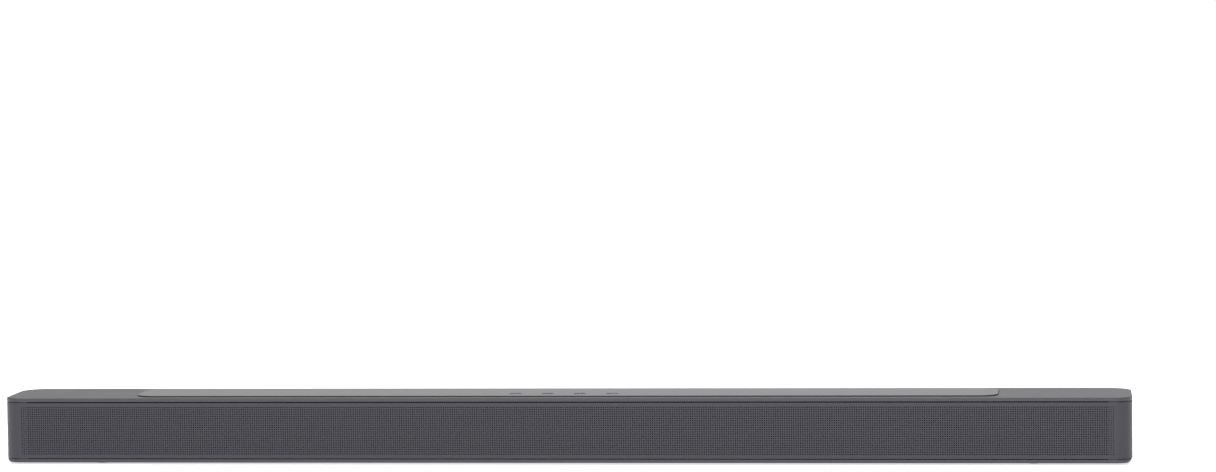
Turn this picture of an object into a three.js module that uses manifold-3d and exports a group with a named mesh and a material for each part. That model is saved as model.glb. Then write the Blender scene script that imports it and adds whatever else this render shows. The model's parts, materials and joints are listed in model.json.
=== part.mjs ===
// A slim soundbar: a moulded tray and lid, a wrapped steel grille, four push buttons on top,
// two racetrack woofers and two dome tweeters behind the grille, boards and sockets between them.
//
// Millimetres. X runs along the bar, -Y is its front and +Z is up. The origin is the middle of
// the bar's plan, on the surface that its feet stand on.

import * as THREE from 'three';
import { mergeVertices } from 'three/addons/utils/BufferGeometryUtils.js';
import Module from 'manifold-3d';

const wasm = await Module();
wasm.setup();

// ---------------------------------------------------------------- driving dimensions

const BAR = { length: 965, depth: 85, frontRadius: 15, rearRadius: 21 };
const END = BAR.length / 2;
const FRONT = -BAR.depth / 2;
const REAR = BAR.depth / 2;
const LEVEL = {
  underside: 1.8, floorTop: 3.9, lipTop: 4.7, grilleBottom: 5.4, grilleTop: 53.1,
  wallTop: 53.7, lidBottom: 54, lidTop: 57.1, plateTop: 58,
};
const LOWER_END_RADIUS = 5.5;
const WALL = 2.6;
const GAP = 0.3;
const PAST = 5;

const GRILLE = { sheet: 0.9, seam: -27, flange: 3.3, flangeEnd: 460 };
const CLOTH = { thickness: 0.3, end: 460, bottom: 6.5, top: 51.9 };
const FRONT_OPENING = 462;
const BAFFLE = { face: -36, thickness: 3, end: 474 };
const PARTITION = { x: 250, thickness: 2.4 };

const PLATE = { halfLength: 370, front: -30.5, rear: 32, radius: 16, thickness: 1.8, gap: 0.4 };
const BUTTON = { centre: 0, pitch: 27.7, y: -13, radius: 4.9, top: 57.9, clearance: 0.35 };
const BUTTON_NAMES = ['power', 'volume_down', 'volume_up', 'source'];
const CONTROL_BOARD = { halfLength: 69, halfWidth: 11, bottom: 44, thickness: 1.6, stake: 65 };
const SWITCH = { side: 6, height: 3.5, plunger: 1.6 };

const DRIVER_HEIGHT = 29;
const WOOFER = { x: 370, straight: 24.5, radius: 18.5, coil: 8.7 };
const TWEETER = { x: 447, plate: 20, dome: 9.6 };

const BOARD = { bottom: 12, thickness: 1.6 };
const BOARD_TOP = BOARD.bottom + BOARD.thickness;
const BAY = { wallFront: 17.6, wallRear: 20, bottom: 6.3, top: 40, skin: 2.4 };
const SIGNAL_BAY = { x: 0, halfWidth: 59 };
const POWER_BAY = { x: 150, halfWidth: 27 };
const MOUTH = 21.4;
const SOCKETS = { hdmiIn: -44, hdmiOut: -18, optical: 8, usb: 34 };
const INLET = { x: POWER_BAY.x, z: 23, halfWidth: 11, halfHeight: 7.5, pinSpacing: 8.6 };
const MAIN_BOARD = { left: -72, right: 64, front: -30, rear: 17 };
const POWER_BOARD = { left: 92, right: 205, front: -27, rear: 16 };

const FOOT = { x: 400, front: -22, rear: 26, radius: 8, height: 2.7, recess: 3 };
const BRACKET = { x: 300, z: 28, insert: 3.3, bore: 1.7, depth: 10.4 };
const TOWERS = [[-455, 24], [-215, 24], [-78, 28], [78, 28], [215, 24], [455, 24]];
const SCREW = { head: 3, shank: 1.5, seat: 6, tip: 24 };

// ---------------------------------------------------------------- finishes

function finish(color, roughness, metalness = 0) {
  return new THREE.MeshStandardMaterial({ color, roughness, metalness });
}

const FINISH = {
  casing: finish(0x2b2a2f, 0.42),
  grille: finish(0x3a393f, 0.45, 0.4),
  plate: finish(0x2e2d33, 0.3),
  button: finish(0x26252a, 0.55),
  baffle: finish(0x1b1b1d, 0.6),
  cloth: finish(0x17171a, 0.95),
  paper: finish(0x222224, 0.85),
  foam: finish(0x1c1c1e, 0.8),
  steel: finish(0x8b8d90, 0.4, 0.9),
  zinc: finish(0xb9bcc0, 0.35, 1),
  copper: finish(0xa85f34, 0.4, 0.8),
  board: finish(0x1f4b33, 0.5),
  aluminium: finish(0xa9acb0, 0.45, 1),
  black: finish(0x151517, 0.5),
  silk: finish(0x3b3a3d, 0.7),
  lens: finish(0x0c0c10, 0.12),
  ferrite: finish(0x3a3735, 0.6),
  rubber: finish(0x1a1a1b, 0.9),
  brass: finish(0xb08d4a, 0.35, 1),
};

// ---------------------------------------------------------------- solids and booleans

// A closed three.js geometry as a solid that can be cut and joined.
function solid(geometry) {
  const bare = geometry.clone();
  bare.deleteAttribute('normal');
  bare.deleteAttribute('uv');
  const merged = mergeVertices(bare, 1e-4);
  const index = merged.index.array;
  const triangles = [];
  let volume = 0;
  const corner = [new THREE.Vector3(), new THREE.Vector3(), new THREE.Vector3()];
  for (let i = 0; i < index.length; i += 3) {
    const [a, b, c] = [index[i], index[i + 1], index[i + 2]];
    if (a !== b && b !== c && c !== a) {
      triangles.push(a, b, c);
      corner.forEach((v, k) => v.fromBufferAttribute(merged.attributes.position, index[i + k]));
      volume += corner[0].dot(corner[1].cross(corner[2]));
    }
  }
  if (volume < 0) {
    triangles.reverse();
  }
  const vertProperties = new Float32Array(merged.attributes.position.array);
  const triVerts = new Uint32Array(triangles);
  return new wasm.Manifold(new wasm.Mesh({ numProp: 3, vertProperties, triVerts }));
}

function joined(solids) {
  return solids.reduce((whole, piece) => whole.add(piece));
}

function cut(body, ...tools) {
  return tools.reduce((rest, tool) => rest.subtract(tool), body);
}

// A named mesh from a finished solid.
function part(name, body, material) {
  const found = body.getMesh();
  const geometry = new THREE.BufferGeometry();
  geometry.setAttribute('position', new THREE.BufferAttribute(found.vertProperties, 3));
  geometry.setIndex(new THREE.BufferAttribute(found.triVerts, 1));
  geometry.computeVertexNormals();
  const mesh = new THREE.Mesh(geometry, material);
  mesh.name = name;
  return mesh;
}

// ---------------------------------------------------------------- outlines

// A rounded rectangle, anticlockwise, with one radius at the front and one at the rear.
function rounded(left, right, front, rear, frontRadius, rearRadius = frontRadius, steps = 6) {
  const corners = [
    [right, rear, rearRadius, 0],
    [left, rear, rearRadius, 1],
    [left, front, frontRadius, 2],
    [right, front, frontRadius, 3],
  ];
  const points = [];
  for (const [x, y, radius, quarter] of corners) {
    const centreX = x + (x === right ? -radius : radius);
    const centreY = y + (y === rear ? -radius : radius);
    for (let i = 0; i <= steps; i += 1) {
      const angle = (quarter + i / steps) * Math.PI / 2;
      const x1 = centreX + radius * Math.cos(angle);
      const y1 = centreY + radius * Math.sin(angle);
      points.push(new THREE.Vector2(x1, y1));
    }
  }
  return points;
}

// The bar's plan outline, drawn in by inset on every side.
function barOutline(inset) {
  const { frontRadius, rearRadius } = BAR;
  return rounded(
    -END + inset, END - inset, FRONT + inset, REAR - inset,
    frontRadius - inset, rearRadius - inset, 12,
  );
}

// Two half circles joined by straight sides of length 2 * straight.
function stadium(straight, radius, steps = 8) {
  const points = [];
  for (const side of [1, -1]) {
    for (let i = 0; i <= steps; i += 1) {
      const angle = Math.PI * (i / steps - side / 2);
      const x = side * straight + radius * Math.cos(angle);
      points.push(new THREE.Vector2(x, radius * Math.sin(angle)));
    }
  }
  return points;
}

// ---------------------------------------------------------------- shapes

function box(left, right, front, rear, bottom, top) {
  const geometry = new THREE.BoxGeometry(right - left, rear - front, top - bottom);
  geometry.translate((left + right) / 2, (front + rear) / 2, (bottom + top) / 2);
  return solid(geometry);
}

function extrusion(outline, height) {
  const shape = new THREE.Shape(outline);
  return new THREE.ExtrudeGeometry(shape, { depth: height, bevelEnabled: false });
}

// An outline in X and Y, from one height to another.
function prism(outline, bottom, top) {
  return solid(extrusion(outline, top - bottom).translate(0, 0, bottom));
}

// An outline in X and Z, from front to rear.
function prismAlongY(outline, front, rear) {
  const geometry = extrusion(outline, rear - front).translate(0, 0, -rear);
  return solid(geometry.rotateX(Math.PI / 2));
}

// An upright cylinder.
function post(x, y, radius, bottom, top, sides = 12) {
  const geometry = new THREE.CylinderGeometry(radius, radius, top - bottom, sides);
  geometry.rotateX(Math.PI / 2);
  return solid(geometry.translate(x, y, (bottom + top) / 2));
}

// A cylinder that lies from front to rear.
function pin(x, z, radius, front, rear, sides = 16) {
  const geometry = new THREE.CylinderGeometry(radius, radius, rear - front, sides);
  return solid(geometry.translate(x, (front + rear) / 2, z));
}

// A profile of [radius, height] points turned about Z.
function turned(profile, sides = 16) {
  const points = profile.map(([radius, height]) => new THREE.Vector2(radius, height));
  return solid(new THREE.LatheGeometry(points, sides).rotateX(Math.PI / 2));
}

// A skin through sections that have the same number of points. Each section is an outline and
// its height. With closed set the last section joins the first, otherwise both ends are capped.
function skinned(sections, closed = false) {
  const count = sections[0].outline.length;
  const positions = [];
  for (const { outline, z } of sections) {
    outline.forEach((point) => positions.push(point.x, point.y, z));
  }
  const index = [];
  const last = closed ? sections.length : sections.length - 1;
  for (let s = 0; s < last; s += 1) {
    const here = s * count;
    const next = ((s + 1) % sections.length) * count;
    for (let i = 0; i < count; i += 1) {
      const j = (i + 1) % count;
      index.push(here + i, here + j, next + j);
      index.push(here + i, next + j, next + i);
    }
  }
  if (!closed) {
    const top = (sections.length - 1) * count;
    const cap = (section) => THREE.ShapeUtils.triangulateShape([...section.outline], []);
    cap(sections[0]).forEach(([a, b, c]) => index.push(a, c, b));
    cap(sections[sections.length - 1]).forEach(([a, b, c]) => index.push(top + a, top + b, top + c));
  }
  const geometry = new THREE.BufferGeometry();
  geometry.setAttribute('position', new THREE.Float32BufferAttribute(positions, 3));
  geometry.setIndex(index);
  return solid(geometry);
}

// ---------------------------------------------------------------- casing

// What the bar's lower end edges are rounded to, seen from the front.
function endProfile() {
  const top = LEVEL.plateTop + PAST;
  const outline = rounded(-END, END, LEVEL.underside, top, LOWER_END_RADIUS, 1);
  return prismAlongY(outline, FRONT - PAST, REAR + PAST);
}

// The room that the grille's wrapped sheet takes from the tray.
function grilleSeat() {
  const top = LEVEL.wallTop + PAST;
  const outer = prism(barOutline(-PAST), LEVEL.lipTop, top);
  const inner = prism(barOutline(GRILLE.sheet + GAP), LEVEL.lipTop - PAST, top + PAST);
  const front = box(-END - PAST, END + PAST, FRONT - PAST, GRILLE.seam, 0, top + PAST);
  return outer.subtract(inner).intersect(front);
}

function trayCavity() {
  const top = LEVEL.wallTop + PAST;
  const step = GRILLE.seam + WALL;
  const rear = prism(barOutline(WALL), LEVEL.floorTop, top);
  const front = prism(barOutline(GRILLE.sheet + GAP + WALL), LEVEL.floorTop, top);
  const behind = box(-END, END, step, REAR, 0, top + PAST);
  return front.add(rear.intersect(behind));
}

function bayBlock({ x, halfWidth }) {
  const side = halfWidth + BAY.skin;
  const top = BAY.top + BAY.skin;
  return box(x - side, x + side, BAY.wallFront, REAR - WALL / 2, LEVEL.floorTop - 1, top);
}

function baySpace({ x, halfWidth }) {
  const outline = rounded(x - halfWidth, x + halfWidth, BAY.bottom, BAY.top, 3);
  return prismAlongY(outline, BAY.wallRear, REAR + PAST);
}

function boardPosts({ left, right, front, rear }) {
  const inset = 5;
  const posts = [];
  for (const x of [left + inset, right - inset]) {
    for (const y of [front + inset - 1, rear - inset]) {
      posts.push(post(x, y, 3, LEVEL.floorTop - 1, BOARD.bottom - GAP, 12));
    }
  }
  return posts;
}

function partitions() {
  const front = BAFFLE.face + BAFFLE.thickness + 2 * GAP;
  return [-1, 1].map((side) => {
    const near = Math.min(side * PARTITION.x, side * (PARTITION.x + PARTITION.thickness));
    const far = near + PARTITION.thickness;
    return box(near, far, front, REAR - 1, LEVEL.floorTop - 1, LEVEL.wallTop - 0.4);
  });
}

function lowerHousing() {
  let tray = prism(barOutline(0), LEVEL.underside, LEVEL.wallTop).intersect(endProfile());
  tray = cut(tray, grilleSeat(), trayCavity());
  const doorway = box(
    -FRONT_OPENING, FRONT_OPENING, FRONT - PAST, FRONT + 12, LEVEL.lipTop, LEVEL.wallTop + PAST,
  );
  tray = tray.subtract(doorway);
  const inside = [
    bayBlock(SIGNAL_BAY), bayBlock(POWER_BAY),
    ...partitions(), ...boardPosts(MAIN_BOARD), ...boardPosts(POWER_BOARD),
    ...TOWERS.map(([x, y]) => post(x, y, 5, LEVEL.floorTop - 1, BOARD.bottom)),
    ...[-1, 1].map((side) => pin(side * BRACKET.x, BRACKET.z, 6, 30, REAR - 1)),
  ];
  tray = tray.add(joined(inside));
  const holes = [
    baySpace(SIGNAL_BAY), baySpace(POWER_BAY),
    ...socketCutouts(), inletCutout(), ...screwHoles(), ...footRecesses(),
    ...[-1, 1].map((side) => pin(side * BRACKET.x, BRACKET.z, BRACKET.insert + GAP,
      REAR - BRACKET.depth - 0.6, REAR + PAST)),
    ...harnessHoles(),
  ];
  return part('lower_housing', cut(tray, ...holes), FINISH.casing);
}

function screwHoles() {
  return TOWERS.flatMap(([x, y]) => [
    post(x, y, SCREW.head + 0.6, 0, SCREW.seat),
    post(x, y, SCREW.shank + GAP, 0, LEVEL.wallTop),
  ]);
}

function footPlaces() {
  return [
    ['front_left', -FOOT.x, FOOT.front], ['front_right', FOOT.x, FOOT.front],
    ['rear_left', -FOOT.x, FOOT.rear], ['rear_right', FOOT.x, FOOT.rear],
  ];
}

function footRecesses() {
  return footPlaces().map(([, x, y]) => post(x, y, FOOT.radius + GAP, 0, FOOT.recess, 24));
}

function topCover() {
  const lid = skinned([
    { outline: barOutline(0), z: LEVEL.lidBottom },
    { outline: barOutline(0), z: LEVEL.lidTop - 0.5 },
    { outline: barOutline(0.5), z: LEVEL.lidTop },
  ]);
  const bosses = TOWERS.map(([x, y]) => post(x, y, 4, BOARD.bottom + GAP, LEVEL.lidBottom + 1));
  let cover = lid.add(joined([lidTongue(), ...bosses, ...lidRibs(), ...boardStakes()]));
  const pocket = plateOutline(-PLATE.gap);
  const holes = [
    prism(pocket, LEVEL.plateTop - PLATE.thickness - GAP, LEVEL.plateTop + PAST),
    ...buttonHoles(LEVEL.lidBottom - PAST),
    ...TOWERS.map(([x, y]) => post(x, y, SCREW.shank + GAP, 0, SCREW.tip + 2)),
  ];
  cover = cut(cover, ...holes);
  return part('top_cover', cover, FINISH.casing);
}

// A rim under the lid that drops inside the tray's end and rear walls.
function lidTongue() {
  const bottom = LEVEL.lidBottom - 3.5;
  const outer = prism(barOutline(WALL + GAP), bottom, LEVEL.lidBottom + 1);
  const inner = prism(barOutline(WALL + GAP + 2), bottom - PAST, LEVEL.lidBottom + PAST);
  const front = box(-END, END, FRONT, GRILLE.seam + WALL + 1, 0, LEVEL.plateTop);
  const notches = [-1, 1].map((side) => {
    const middle = side * (PARTITION.x + PARTITION.thickness / 2);
    return box(middle - 2, middle + 2, REAR - 12, REAR, 0, LEVEL.lidBottom);
  });
  return cut(outer, inner, front, ...notches);
}

// Posts that carry the control board, each with a pin through it and a melted head under it.
function boardStakes() {
  const { stake, bottom, thickness } = CONTROL_BOARD;
  const head = bottom - GAP;
  return [-1, 1].map((side) => {
    const profile = [
      [0, head - 1], [1.6, head - 1], [2.2, head - 0.6], [2.2, head], [1, head],
      [1, bottom + thickness + GAP], [3, bottom + thickness + GAP], [3, LEVEL.lidBottom + 1],
      [0, LEVEL.lidBottom + 1],
    ];
    return turned(profile, 12).translate(BUTTON.centre + side * stake, BUTTON.y, 0);
  });
}

function lidRibs() {
  const ribs = [];
  for (let x = -420; x <= 420; x += 60) {
    if (Math.abs(x) > 90) {
      ribs.push(box(x - 0.6, x + 0.6, -31, 36, LEVEL.lidBottom - 2.2, LEVEL.lidBottom + 1));
    }
  }
  return ribs;
}

function plateOutline(inset) {
  const { halfLength, front, rear, radius } = PLATE;
  const end = halfLength - inset;
  return rounded(-end, end, front + inset, rear - inset, radius - inset, radius - inset, 8);
}

function controlPlate() {
  const chamfer = 0.35;
  const body = skinned([
    { outline: plateOutline(0), z: LEVEL.plateTop - PLATE.thickness },
    { outline: plateOutline(0), z: LEVEL.plateTop - chamfer },
    { outline: plateOutline(chamfer), z: LEVEL.plateTop },
  ]);
  return part('control_plate', cut(body, ...buttonHoles(LEVEL.lidTop - PAST)), FINISH.plate);
}

// The tray's front is closed by this sheet, which wraps both corners and is folded in along
// its long edges. Its perforations are too fine to be part of this solid.
function frontGrille() {
  const { sheet, seam, flange, flangeEnd } = GRILLE;
  const { grilleBottom: bottom, grilleTop: top } = LEVEL;
  const wrapped = prism(barOutline(0), bottom, top)
    .subtract(prism(barOutline(sheet), bottom - PAST, top + PAST))
    .subtract(box(-END - PAST, END + PAST, seam - GAP, REAR + PAST, 0, top + PAST));
  const folds = [
    box(-flangeEnd, flangeEnd, FRONT + sheet / 2, FRONT + flange, bottom, bottom + sheet),
    box(-flangeEnd, flangeEnd, FRONT + sheet / 2, FRONT + flange, top - sheet, top),
  ];
  return part('front_grille', wrapped.add(joined(folds)).intersect(endProfile()), FINISH.grille);
}

function grilleCloth() {
  const front = FRONT + GRILLE.sheet + 0.4;
  const rear = front + CLOTH.thickness;
  const body = box(-CLOTH.end, CLOTH.end, front, rear, CLOTH.bottom, CLOTH.top);
  return part('grille_cloth', body, FINISH.cloth);
}

function feet() {
  return footPlaces().map(([place, x, y]) => {
    const { radius, height } = FOOT;
    const body = turned([[0, 0], [radius - 0.6, 0], [radius, 0.6], [radius, height], [0, height]]);
    const foot = part(`foot_${place}`, body, FINISH.rubber);
    foot.position.set(x, y, 0);
    return foot;
  });
}

function caseScrews() {
  const { head, shank, seat, tip } = SCREW;
  const underHead = seat - GAP;
  const profile = [
    [0, underHead - 1.7], [head, underHead - 1.7], [head, underHead],
    [shank, underHead], [shank, tip - 2], [0, tip],
  ];
  return TOWERS.map(([x, y], i) => {
    const slot = box(-PAST, PAST, -0.4, 0.4, 0, underHead - 0.9);
    const screw = part(`case_screw_${i + 1}`, turned(profile, 12).subtract(slot), FINISH.zinc);
    screw.position.set(x, y, 0);
    return screw;
  });
}

function bracketInserts() {
  return [['left', -1], ['right', 1]].map(([name, side]) => {
    const { x, z, insert, bore, depth } = BRACKET;
    const front = REAR - depth;
    const rear = REAR - 0.1;
    const body = pin(side * x, z, insert, front, rear)
      .subtract(pin(side * x, z, bore, front - 1, rear + 1));
    return part(`bracket_insert_${name}`, body, FINISH.brass);
  });
}

// ---------------------------------------------------------------- buttons

function buttonX(i) {
  return BUTTON.centre + BUTTON.pitch * (i - 1.5);
}

function buttonHoles(bottom) {
  const radius = BUTTON.radius + BUTTON.clearance;
  return BUTTON_NAMES.map((_, i) => post(buttonX(i), BUTTON.y, radius, bottom, 70, 20));
}

// A cap with a slightly dished top, a collar that keeps it under the lid, and a stem.
function buttonCap() {
  const { radius, top } = BUTTON;
  const collar = LEVEL.lidBottom - GAP;
  return turned([
    [0, 50.5], [2.5, 50.5], [2.5, collar - 1.3], [radius + 1.6, collar - 1.3],
    [radius + 1.6, collar], [radius, collar], [radius, top - 0.3], [radius - 0.3, top],
    [radius - 1, top - 0.1], [0, top - 0.3],
  ], 20);
}

function switchPlunger() {
  const radius = SWITCH.plunger;
  return turned([[0, 47.8], [radius, 47.8], [radius, 50], [radius - 0.2, 50.2], [0, 50.2]], 16);
}

function buttons() {
  return BUTTON_NAMES.flatMap((name, i) => {
    const cap = part(`button_${name}`, buttonCap(), FINISH.button);
    const plunger = part(`switch_plunger_${name}`, switchPlunger(), FINISH.black);
    cap.position.set(buttonX(i), BUTTON.y, 0);
    plunger.position.set(buttonX(i), BUTTON.y, 0);
    return [cap, plunger];
  });
}

function controlBoard() {
  const { halfLength, halfWidth, bottom, thickness, stake } = CONTROL_BOARD;
  const top = bottom + thickness;
  const { centre, y } = BUTTON;
  const board = box(centre - halfLength, centre + halfLength, y - halfWidth, y + halfWidth,
    bottom, top);
  const half = SWITCH.side / 2;
  const switches = BUTTON_NAMES.map((_, i) => {
    const x = buttonX(i);
    const body = box(x - half, x + half, y - half, y + half, top - 0.2, top + SWITCH.height);
    return body.subtract(post(x, y, SWITCH.plunger + GAP, top + 1.4, 60, 16));
  });
  const holes = [-1, 1].map((side) => post(centre + side * stake, y, 1 + GAP, 0, 60));
  return part('control_board', cut(board.add(joined(switches)), ...holes), FINISH.board);
}

// A bridge over the control board with one guide hole for each button's stem.
function buttonFrame() {
  const { centre, y } = BUTTON;
  const foot = CONTROL_BOARD.bottom + CONTROL_BOARD.thickness + GAP;
  const left = centre - 61;
  const right = centre + 61;
  const deck = box(left, right, y - 9, y + 9, 50, 51.4);
  const ends = [left, right - 4].map((x) => box(x, x + 4, y - 9, y + 9, foot, LEVEL.wallTop));
  const guides = BUTTON_NAMES.map((_, i) => post(buttonX(i), y, 3.2, 49, 53));
  return part('button_frame', cut(deck.add(joined(ends)), ...guides), FINISH.black);
}

// ---------------------------------------------------------------- drivers
// Each driver is built about its own axis, local +Z forward, with z = 0 on the baffle's face.

function frontBaffle() {
  const { face, thickness, end } = BAFFLE;
  const outline = rounded(-end, end, LEVEL.floorTop + 0.4, LEVEL.wallTop - 0.4, 2);
  const at = (points, x) => points.map((p) => new THREE.Vector2(p.x + x, p.y + DRIVER_HEIGHT));
  const front = face - PAST;
  const rear = face + thickness + PAST;
  const holes = [-1, 1].flatMap((side) => [
    prismAlongY(at(stadium(WOOFER.straight, WOOFER.radius + 1.5), side * WOOFER.x), front, rear),
    pin(side * TWEETER.x, DRIVER_HEIGHT, 15, front, rear, 24),
  ]);
  const view = box(DISPLAY.x - 30, DISPLAY.x + 30, front, rear, DISPLAY.z - 7, DISPLAY.z + 7);
  const body = prismAlongY(outline, face, face + thickness);
  return part('front_baffle', cut(body, ...holes, view), FINISH.baffle);
}

function wooferBasket() {
  const { straight, radius } = WOOFER;
  const flange = prism(stadium(straight + 1.5, radius + 4.5), GAP, 2);
  const bowl = (inset, top, bottom) => skinned([
    { outline: stadium(0, radius - inset), z: bottom },
    { outline: stadium(straight / 2, radius + 0.5 - inset), z: -12 },
    { outline: stadium(straight, radius + 1.1 - inset), z: -3 },
    { outline: stadium(straight, radius + 1.1 - inset), z: top },
  ]);
  const ledge = prism(stadium(straight, radius + 0.5), -1.8, -0.7)
    .subtract(prism(stadium(straight, radius - 2.6), -3, 1));
  const windows = [-1, 1].map((side) => {
    const near = side * 15 - 9;
    return box(near, near + 18, -40, 40, -11, -4);
  });
  return cut(flange.add(bowl(0, 1, -14.9)), bowl(1.1, 3, -13.6), post(0, 0, 9.6, -20, 0), ...windows)
    .add(ledge);
}

// A pot magnet with its annular gap for the coil, open at the front.
function potMagnet({ outer, back, front, lip, gapOuter, room, gapInner, floor }) {
  return turned([
    [0, back], [outer, back], [outer, front], [gapOuter, front], [gapOuter, front - lip],
    [room, front - lip], [room, floor], [gapInner, floor], [gapInner, front], [0, front],
  ]);
}

// A half-round roll between an outer and an inner land.
function wooferSurround() {
  const [outerEdge, innerEdge, crest, roll, skin] = [0.4, 5.6, 3.2, 1.9, 0.5];
  const profile = [[outerEdge, 0.2]];
  const steps = 5;
  for (let i = 0; i <= steps; i += 1) {
    const angle = Math.PI * (1 - i / steps);
    profile.push([crest + roll * Math.cos(angle), 0.2 + 0.9 * roll * Math.sin(angle)]);
  }
  profile.push([innerEdge, 0.2], [innerEdge, -0.3]);
  for (let i = 0; i <= steps; i += 1) {
    const angle = Math.PI * i / steps;
    const inner = roll - skin;
    profile.push([crest + inner * Math.cos(angle), -0.3 + 0.9 * inner * Math.sin(angle)]);
  }
  profile.push([outerEdge, -0.3]);
  return skinned(profile.map(([inset, z]) => (
    { outline: stadium(WOOFER.straight, WOOFER.radius - inset), z }
  )), true);
}

// A paper cone that changes from the racetrack edge to the round coil. Its back is wider and
// lower than its front, so that the wall has a thickness on its steep sides as well.
function wooferCone() {
  const [edge, neck, depth, skin] = [12.2, 8.6, 8, 0.4];
  const steps = 4;
  const section = (t, offset) => ({
    outline: stadium(WOOFER.straight * (1 - t) + 0.2, edge + (neck - edge) * t + offset),
    z: -0.2 - depth * t ** 0.8 - offset,
  });
  const front = Array.from({ length: steps + 1 }, (_, i) => section(i / steps, 0));
  const back = Array.from({ length: steps + 1 }, (_, i) => section(1 - i / steps, skin));
  return skinned([...front, ...back], true);
}

function dome(radius, base, rise, skin, skirt) {
  const steps = 4;
  const arc = (r, height, from) => Array.from({ length: steps + 1 }, (_, i) => {
    const angle = (from ? steps - i : i) * Math.PI / 2 / steps;
    return [r * Math.sin(angle), base + height * Math.cos(angle)];
  });
  const outside = arc(radius, rise, true);
  const inside = arc(radius - skin, rise - skin, false);
  return turned([[radius - skin, base - skirt], [radius, base - skirt], ...outside.slice(0, -1),
    [0, base + rise], [0, base + rise - skin], ...inside.slice(1), [radius - skin, base - skirt]]);
}

function ring(outer, inner, bottom, top, sides = 16) {
  return turned([[inner, bottom], [outer, bottom], [outer, top], [inner, top], [inner, bottom]],
    sides);
}

function driver(x, meshes) {
  const group = new THREE.Group();
  group.position.set(x, BAFFLE.face, DRIVER_HEIGHT);
  group.rotation.x = Math.PI / 2;
  group.add(...meshes);
  return group;
}

function woofer(name, side) {
  const magnet = potMagnet({
    outer: 19, back: -33, front: -15.4, lip: 3.5, gapOuter: 9.6, room: 12, gapInner: 7.1,
    floor: -29,
  });
  return driver(side * WOOFER.x, [
    part(`woofer_basket_${name}`, wooferBasket(), FINISH.steel),
    part(`woofer_magnet_${name}`, magnet, FINISH.ferrite),
    part(`woofer_surround_${name}`, wooferSurround(), FINISH.foam),
    part(`woofer_cone_${name}`, wooferCone(), FINISH.paper),
    part(`woofer_dust_cap_${name}`, dome(8.4, -7.6, 3, 0.4, 0.4), FINISH.paper),
    part(`woofer_voice_coil_${name}`, ring(WOOFER.coil, 8, -21, -9.2), FINISH.copper),
  ]);
}

function tweeter(name, side) {
  const magnet = potMagnet({
    outer: 14, back: -16, front: -2.6, lip: 3, gapOuter: 10.2, room: 12, gapInner: 8.5,
    floor: -12,
  });
  const plate = turned([
    [10.8, -2.3], [12.5, -2.3], [12.5, GAP], [TWEETER.plate, GAP], [TWEETER.plate, 1.6],
    [TWEETER.plate - 0.4, 2], [13, 2], [10.8, 0.8], [10.8, -2.3],
  ]);
  return driver(side * TWEETER.x, [
    part(`tweeter_faceplate_${name}`, plate, FINISH.baffle),
    part(`tweeter_dome_${name}`, dome(TWEETER.dome, -0.6, 3.6, 0.5, 4.4), FINISH.silk),
    part(`tweeter_magnet_${name}`, magnet, FINISH.ferrite),
  ]);
}

// ---------------------------------------------------------------- display

const DISPLAY = { x: 150, z: DRIVER_HEIGHT };

function displayBoard() {
  const { x, z } = DISPLAY;
  const rear = BAFFLE.face + BAFFLE.thickness + 3.1;
  const front = rear - BOARD.thickness;
  const board = box(x - 40, x + 40, front, rear, z - 15, z + 15);
  const digits = box(x - 28, x + 20, front - 1.3, front + 0.2, z - 6, z + 6);
  const receiver = box(x + 23, x + 28, front - 1.3, front + 0.2, z - 3.5, z + 3.5);
  return part('display_board', joined([board, digits, receiver]), FINISH.board);
}

function displayLens() {
  const { x, z } = DISPLAY;
  const outline = rounded(x - 33, x + 33, z - 9, z + 9, 2);
  const front = BAFFLE.face - GAP - 1.6;
  return part('display_lens', prismAlongY(outline, front, BAFFLE.face - GAP), FINISH.lens);
}

// ---------------------------------------------------------------- boards

function boardPlate({ left, right, front, rear }) {
  return box(left, right, front, rear, BOARD.bottom, BOARD_TOP);
}

// A block soldered on a board, sunk a little so that it is one piece with it.
function chip(x, y, width, depth, height) {
  return box(x - width / 2, x + width / 2, y - depth / 2, y + depth / 2,
    BOARD_TOP - 0.2, BOARD_TOP + height);
}

function can(x, y, radius, height) {
  return post(x, y, radius, BOARD_TOP - 0.2, BOARD_TOP + height, 12);
}

function mainBoard() {
  const pieces = [
    boardPlate(MAIN_BOARD),
    chip(HEAT_SINK.x, -11.5, 14, 14, 2), chip(-50, -12, 12, 12, 1.5), chip(-34, -22, 8, 5, 1.2),
    chip(48, -24, 14, 6, 6), chip(-62, -25, 12, 5, 6),
    ...[34, 44, 54].map((x) => can(x, -8, 4, 11)),
  ];
  return part('main_board', joined(pieces), FINISH.board);
}

const HEAT_SINK = { x: 2, halfWidth: 22, front: -27, rear: 4, base: 3, fins: 9, height: 20 };

function heatSink() {
  const { x, halfWidth, front, rear, base, fins, height } = HEAT_SINK;
  const bottom = BOARD_TOP + 2 + GAP;
  const pitch = (2 * halfWidth - 1.2) / (fins - 1);
  const pieces = [box(x - halfWidth, x + halfWidth, front, rear, bottom, bottom + base)];
  for (let i = 0; i < fins; i += 1) {
    const left = x - halfWidth + i * pitch;
    pieces.push(box(left, left + 1.2, front, rear, bottom + 1, bottom + height));
  }
  return part('heat_sink', joined(pieces), FINISH.aluminium);
}

function powerBoard() {
  const { left } = POWER_BOARD;
  const pieces = [
    boardPlate(POWER_BOARD),
    can(left + 88, -14, 9, 25), can(left + 22, 2, 5, 16), can(left + 34, 2, 5, 16),
    chip(left + 66, -16, 16, 14, 18), chip(left + 12, -14, 2.4, 22, 22), chip(left + 90, 6, 18, 8, 13),
  ];
  return part('power_board', joined(pieces), FINISH.board);
}

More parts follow.
